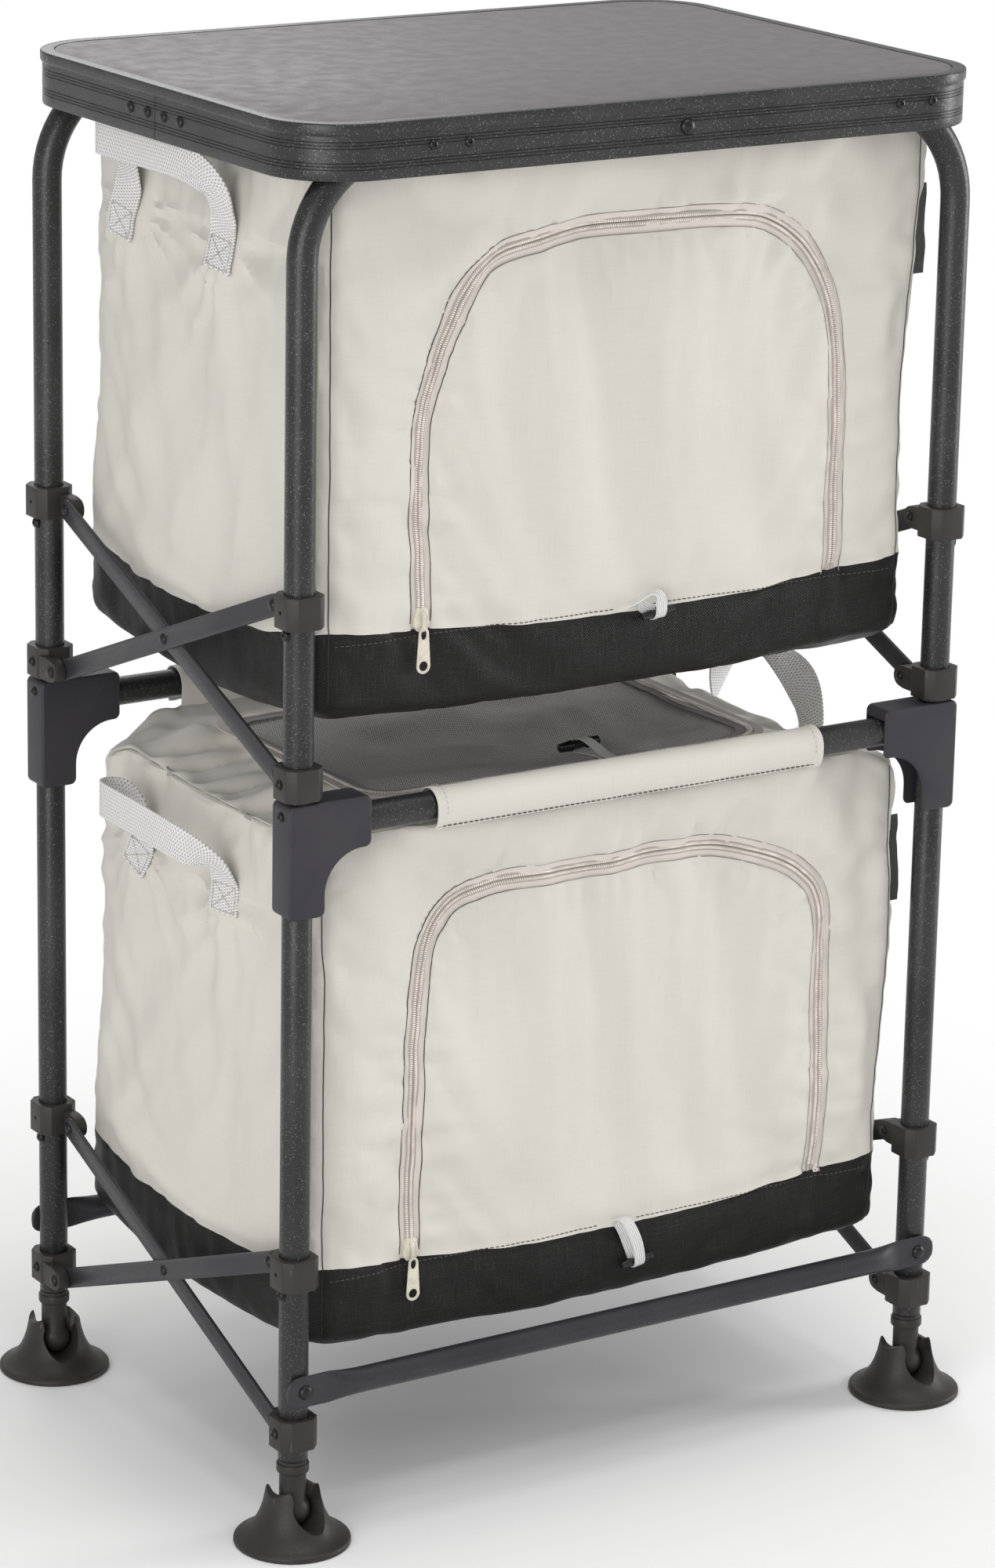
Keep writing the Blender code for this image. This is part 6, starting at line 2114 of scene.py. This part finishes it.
def toggle_piece(name, place, along, body, size=1.0):
    """A toggle: a bar that swells towards its middle, with a waist where the elastic lies."""
    profile = [
        (0, -0.0145), (0.0019, -0.0144), (0.0026, -0.0138), (0.0029, -0.0100), (0.0034, -0.0060),
        (0.0026, -0.0052),
        (0.0022, 0), (0.0026, 0.0052), (0.0034, 0.0060), (0.0029, 0.0100), (0.0026, 0.0138), (0.0019, 0.0144),
        (0, 0.0145),
    ]
    bm = bmesh.new()
    lathe(bm, [(r * size, z * size) for r, z in profile], 20, Matrix.Translation(place) @ facing(along))
    return finish_piece(bm, name, "toggle", body, [], sharp=40)


class CUPBOARD_OT_sleeves(CupboardOperator, bpy.types.Operator):
    """Models the cloth sleeves that hang the bags on the rails"""

    bl_idname = "cupboard.sleeves"
    bl_label = "Rail Sleeves"

    def execute(self, context):
        for level in LEVELS:
            for end in ENDS:
                self.make_sleeve(level, end)
        return {"FINISHED"}

    def make_sleeve(self, level, end):
        radius = TUBE_RADIUS + 0.0020
        profile = [(0.0118, -0.0215), (0.0124, -0.0140), (0.0129, -0.0060)]
        profile += arc_points((0, 0), radius, 0, 180, 16)
        profile += [
            (-0.0129, -0.0050), (-0.0124, -0.0085), (-0.0110, -0.0118), (-0.0090, -0.0144), (-0.0070, -0.0160)
        ]
        sign, rail = ENDS[end], RAIL_Z[level]
        low, high = (-0.171, 0.168) if end == "front" else (-0.172, 0.172)
        bm = bmesh.new()
        verts = [bm.verts.new((low, sign * LEG_Y - sign * dy, rail + dz)) for dy, dz in profile]
        edges = [bm.edges.new(pair) for pair in zip(verts, verts[1:])]
        for _ in range(SLEEVE_CELLS):
            verts, edges = extrude_ring(bm, edges)
            bmesh.ops.translate(bm, verts=verts, vec=((high - low) / SLEEVE_CELLS, 0, 0))
        cut = bm.loops.layers.uv.new("cut")
        for face in bm.faces:
            for loop in face.loops:
                loop[cut].uv = (loop.vert.co.x, loop.vert.co.y * 0.8 + loop.vert.co.z)
        bm.normal_update()
        centre = Vector((0, sign * LEG_Y, rail))
        for vert in bm.verts:
            x = vert.co.x
            out = vert.co - centre
            out.x = 0
            depth = max(0.0, (rail - vert.co.z) / 0.022)
            ripple = 0.0007 * smooth_noise(Vector((x / 0.045, out.angle(UP), sign)))
            hem = 0.0010 if x - low < 0.0085 or high - x < 0.0085 else 0
            vert.co += out.normalized() * (ripple + hem)
            vert.co.z += 0.0016 * depth * smooth_noise(Vector((x / 0.05, 3.1, sign)))
            vert.co.y -= sign * 0.0018 * depth * smooth_noise(Vector((x / 0.03, 7.7, sign)))
        face = bm.faces[:][len(bm.faces) // 2]
        if face.normal.dot(face.calc_center_median() - centre) < 0:
            bmesh.ops.reverse_faces(bm, faces=bm.faces)
        mesh = applied(to_mesh(bm, "sleeve"), [("SOLIDIFY", {"thickness": 0.0010, "offset": -1})])
        obj = finish_mesh(mesh, f"{level}_{end}_sleeve", ["sleeve"], f"{end}_frame", [])
        bm = bmesh.new()
        reach = radius + 0.0018
        for x in (low + 0.0072, high - 0.0072):
            for turn in range(-14, 166, 15):
                angles = (math.radians(turn), math.radians(turn + 9))
                start, end_point = (
                    (x, sign * (LEG_Y + reach * math.cos(angle)), rail + reach * math.sin(angle))
                    for angle in angles
                )
                rod_into(bm, start, end_point, 0.0003, 6)
        finish_piece(
            bm, f"{level}_{end}_sleeve_hem_stitches", "pale_thread", f"{end}_frame", [], clean=False
        )
        # Dark dashes along the sleeve's lower edge: stitches, and painted shadow of the gap under the hem.
        bm = bmesh.new()
        count = round((high - low) / 0.0046)
        for i in range(count):
            x, y, z = low + (high - low) * (i + 0.2) / count, sign * (LEG_Y + 0.0103), rail - 0.0136
            rod_into(bm, (x, y, z), (x + 0.0028, y, z), 0.0005, 6)
        finish_piece(
            bm, f"{level}_{end}_sleeve_edge_stitches", "brown_thread_and_shade", f"{end}_frame", [],
            clean=False
        )


class CUPBOARD_OT_webbing(CupboardOperator, bpy.types.Operator):
    """Models the handles, the doors' elastic loops with their toggles, and the side tags"""

    bl_idname = "cupboard.webbing"
    bl_label = "Webbing"

    def execute(self, context):
        for level in LEVELS:
            for side in SIDES:
                self.make_handle(level, side)
            self.make_loop(level)
            self.make_tag(level)
            self.make_seams(level)
        return {"FINISHED"}

    def make_handle(self, level, side):
        sign, rail = SIDES[side], RAIL_Z[level]
        stops = HANDLE_STOPS["standing" if (level, side) == ("lower", "right") else level]
        knots = [Vector(stop[:3]) for stop in stops]
        middles = smooth_line(knots, HANDLE_STEP)
        acrosses = [Vector((stop[5] if len(stop) > 5 else 0, stop[3], stop[4])) for stop in stops]
        nearest = 0
        stations = []
        for point in middles:
            out, y, z = point
            while (
                nearest < len(knots) - 2
                and (knots[nearest + 1] - point).dot(knots[nearest + 1] - knots[nearest]) < 0
            ):
                nearest += 1
            run = knots[nearest + 1] - knots[nearest]
            share = min(max((point - knots[nearest]).dot(run) / run.length_squared, 0), 1)
            across = acrosses[nearest].lerp(acrosses[nearest + 1], share)
            base = on_side(level, side, y, min(rail + z, BAG_TOP[level] - 0.045))[0].x
            stations.append(
                ((base + sign * (out + 0.0011), y, rail + z), (sign * across.x, across.y, across.z))
            )
        bases = np.array([place[0] - sign * out for (place, _), (out, _, _) in zip(stations, middles)])
        padded_bases = np.concatenate([np.full(12, bases[0]), bases, np.full(12, bases[-1])])
        calm = np.convolve(padded_bases, np.full(25, 1 / 25), "valid")
        for i, ((place, across), (out, _, _)) in enumerate(zip(list(stations), middles)):
            share = float(ease(out, 0.001, 0.008))
            if share < 1:
                z = min(place[2], BAG_TOP[level] - 0.03)
                ahead, behind = (on_side(level, side, place[1] + step, z)[0].x for step in (0.008, -0.008))
                across = (
                    across[0] + (ahead - behind) / 0.016 * across[1] * (1 - share), across[1], across[2]
                )
            x = bases[i] * (1 - share) + calm[i] * share + sign * out
            stations[i] = ((x, place[1], place[2]), across)
        bm = bmesh.new()
        ribbon(bm, stations, HANDLE_WIDTH, HANDLE_THICKNESS)
        obj = finish_piece(bm, f"{level}_{side}_handle", "webbing", "back_frame", [])
        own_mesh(obj)
        self.make_box_stitches(level, side, stations)

    def on_strap(self, stations, walked, aside, side):
        """The outer face of a handle, this many stations from its end and this far from its middle line."""
        number = min(int(walked), len(stations) - 2)
        (start, across), (end, _) = stations[number], stations[number + 1]
        start, along, across = Vector(start), Vector(end) - Vector(start), Vector(across)
        across = (across - along * (along.dot(across) / along.length_squared)).normalized()
        normal = across.cross(along).normalized()
        if normal.x * SIDES[side] < 0:
            normal.negate()
        return start + along * (walked - number) + across * aside + normal * (HANDLE_THICKNESS / 2 + 0.0001)

    def make_box_stitches(self, level, side, stations):
        """The sewn box with a cross in it at each end of a handle."""
        low, high, half = 0.64, 7.84, 0.0112
        corners = [Vector((low, -half)), Vector((low, half)), Vector((high, half)), Vector((high, -half))]
        bm = bmesh.new()
        for tail in (stations[:10], stations[:-11:-1]):
            for a, b in ((0, 1), (1, 2), (2, 3), (3, 0), (0, 2), (1, 3)):
                run = corners[b] - corners[a]
                count = round(math.hypot(run.x * HANDLE_STEP, run.y) / 0.0032)
                for i in range(count):
                    stitch = (corners[a] + run * (share / count) for share in (i, i + 0.72))
                    rod_into(bm, *(self.on_strap(tail, *place, side) for place in stitch), 0.00045, 6)
        obj = finish_piece(
            bm, f"{level}_{side}_handle_stitches", "pale_thread", "back_frame", [], clean=False
        )
        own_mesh(obj)

    def make_loop(self, level):
        """The elastic loop and toggle that hold the rolled door, sewn in at the band's top."""
        z = BAND_TOP[level] - 0.004
        face = on_front(level, LOOP_X + 0.012, z)[0].y
        if level == "upper":
            bar = (0.0200, -0.0052, -0.0035)
            stops = [
                (0.0000, 0.0010, 0.0040, 0.3, 1, 0), (0.0020, -0.0030, 0.0060, 0.4, 1, 0),
                (0.0070, -0.0075, 0.0100, 0.7, 0.8, 0),
                (0.0125, -0.0100, 0.0125, 0.9, 0.4, 0), (0.0175, -0.0108, 0.0095, 1, 0.1, 0),
                (0.0195, -0.0105, 0.0020, 1, 0, 0.1),
                (0.0200, -0.0092, -0.0040, 1, 0, 0.1), (0.0200, -0.0052, -0.0078, 1, 0, 0.1),
                (0.0180, -0.0015, -0.0060, 1, 0, 0.1),
                (0.0120, -0.0008, -0.0010, 1, 0, 0.2), (0.0060, 0.0006, 0.0030, 1, 0.3, 0.2),
            ]
        else:
            bar = (0.0170, -0.0060, -0.0300)
            stops = [
                (0.0010, 0.0012, 0.0035, 1, 0.3, 0), (0.0030, -0.0040, 0.0055, 1, 0.2, 0),
                (0.0060, -0.0085, 0.0030, 1, 0, 0.1),
                (0.0110, -0.0110, -0.0080, 1, 0, 0.25), (0.0150, -0.0112, -0.0200, 1, 0, 0.2),
                (0.0170, -0.0100, -0.0305, 1, 0, 0.15),
                (0.0170, -0.0060, -0.0345, 1, 0, 0.15), (0.0165, -0.0020, -0.0300, 1, 0, 0.15),
                (0.0120, -0.0016, -0.0180, 1, 0, 0.2),
                (0.0060, -0.0012, -0.0050, 1, 0.2, 0.2), (0.0030, 0.0008, 0.0010, 1, 0.2, 0.2),
            ]
        place = Vector((LOOP_X, face, z))
        toggle_piece(f"{level}_door_toggle", place + Vector(bar), (1, 0, 0.14), f"{level}_door")
        points = smooth_line([stop[:3] for stop in stops], 0.0020)
        bm = bmesh.new()
        stations = []
        for i, point in enumerate(points):
            share = i / (len(points) - 1) * (len(stops) - 1)
            low = min(int(share), len(stops) - 2)
            across = Vector(stops[low][3:]).lerp(Vector(stops[low + 1][3:]), share - low)
            stations.append((place + Vector(point), across))
        ribbon(bm, stations, ELASTIC_WIDTH, 0.0010)
        finish_piece(bm, f"{level}_door_elastic", "elastic", f"{level}_door", [])

    def make_tag(self, level):
        """A blank woven tag, sewn into the front right seam."""
        low = {"upper": 0.8945, "lower": 0.4030}[level]
        stations = []
        for i in range(18):
            z = low + 0.068 * i / 17
            place, _ = on_front(level, SEAM_X - 0.002, z)
            curl = 0.0012 * math.sin(i / 17 * math.pi)
            stations.append(((place.x + 0.0140, place.y + 0.0125 - curl, z), (1, 0.05, 0)))
        bm = bmesh.new()
        ribbon(bm, stations, 0.023, 0.0011)
        finish_piece(bm, f"{level}_blank_tag", "tag", "front_frame", [])

    def make_seams(self, level):
        """The dark thread in the upright seams."""
        for end in ENDS:
            bm = bmesh.new()
            for side in SIDES:
                points = [p + Vector((0, ENDS[end] * 0.0001, 0)) for p in SEAMS[level, end, side][2:-2]]
                thread_into(bm, points, (0, 1, 0), 0.00045, 8)
            finish_piece(bm, f"{level}_{end}_seam_thread", "fold_shade", f"{end}_frame", [])
        bm = bmesh.new()
        z = BAND_TOP[level] - 0.0026
        for i in range(BAND_STITCHES):
            x = -SEAM_X + 0.004 + (2 * SEAM_X - 0.011) * i / BAND_STITCHES
            if abs(x - LOOP_X) < 0.018:
                continue
            start, end = (on_front(level, x + step, z)[0] + Vector((0, -0.0001, 0)) for step in (0, 0.0026))
            rod_into(bm, start, end, 0.0004, 6)
        finish_piece(bm, f"{level}_band_stitches", "brown_thread_and_shade", "front_frame", [], clean=False)
        # The top seams' dark brown thread is thread, and painted shade of the seam's groove as well.
        bm = bmesh.new()
        for side in SIDES:
            points = [p + Vector((0, 0, 0.0001)) for p in SEAMS[level, "top", side][8:-4]]
            thread_into(bm, points, (0, 0, 1), 0.0005, 8)
        obj = finish_piece(bm, f"{level}_top_seam_thread", "brown_thread_and_shade", "back_frame", [])
        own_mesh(obj)


class CUPBOARD_PT_panel(bpy.types.Panel):
    """Sidebar panel with the sizes, the colours and a button for each piece"""

    bl_idname = "CUPBOARD_PT_panel"
    bl_label = "Camp Kitchen Cupboard"
    bl_space_type = "VIEW_3D"
    bl_region_type = "UI"
    bl_category = "Cupboard"

    def draw(self, context):
        layout, scene = self.layout, context.scene
        for label, group in SETTINGS.items():
            box = layout.box()
            box.label(text=label)
            for name in group[1].__annotations__:
                box.prop(getattr(scene, group[0]), name)
        for operator in OPERATORS:
            layout.operator(operator.bl_idname)


SETTINGS = {
    "Tubes": ("cupboard_tubes", TubeSettings),
    "Table top": ("cupboard_table", TableSettings),
    "Fittings": ("cupboard_fittings", FittingSettings),
    "Fabric": ("cupboard_fabric", FabricSettings),
}
OPERATORS = (
    CUPBOARD_OT_stage,
    CUPBOARD_OT_table_top,
    CUPBOARD_OT_tubes,
    CUPBOARD_OT_gussets,
    CUPBOARD_OT_collars,
    CUPBOARD_OT_bars,
    CUPBOARD_OT_screws,
    CUPBOARD_OT_feet,
    CUPBOARD_OT_bags,
    CUPBOARD_OT_zips,
    CUPBOARD_OT_lids,
    CUPBOARD_OT_sleeves,
    CUPBOARD_OT_webbing,
)


def register():
    for name, kind in SETTINGS.values():
        bpy.utils.register_class(kind)
        setattr(bpy.types.Scene, name, PointerProperty(type=kind))
    for kind in (*OPERATORS, CUPBOARD_PT_panel):
        bpy.utils.register_class(kind)


def unregister():
    for kind in (CUPBOARD_PT_panel, *reversed(OPERATORS)):
        bpy.utils.unregister_class(kind)
    for name, kind in SETTINGS.values():
        delattr(bpy.types.Scene, name)
        bpy.utils.unregister_class(kind)


def main():
    register()
    for obj in list(bpy.data.objects):
        if obj.name in {"Cube", "Light", "Camera"}:
            bpy.data.objects.remove(obj)
    for operator in OPERATORS:
        getattr(bpy.ops.cupboard, operator.bl_idname.split(".")[1])()


if __name__ == "__main__":
    main()
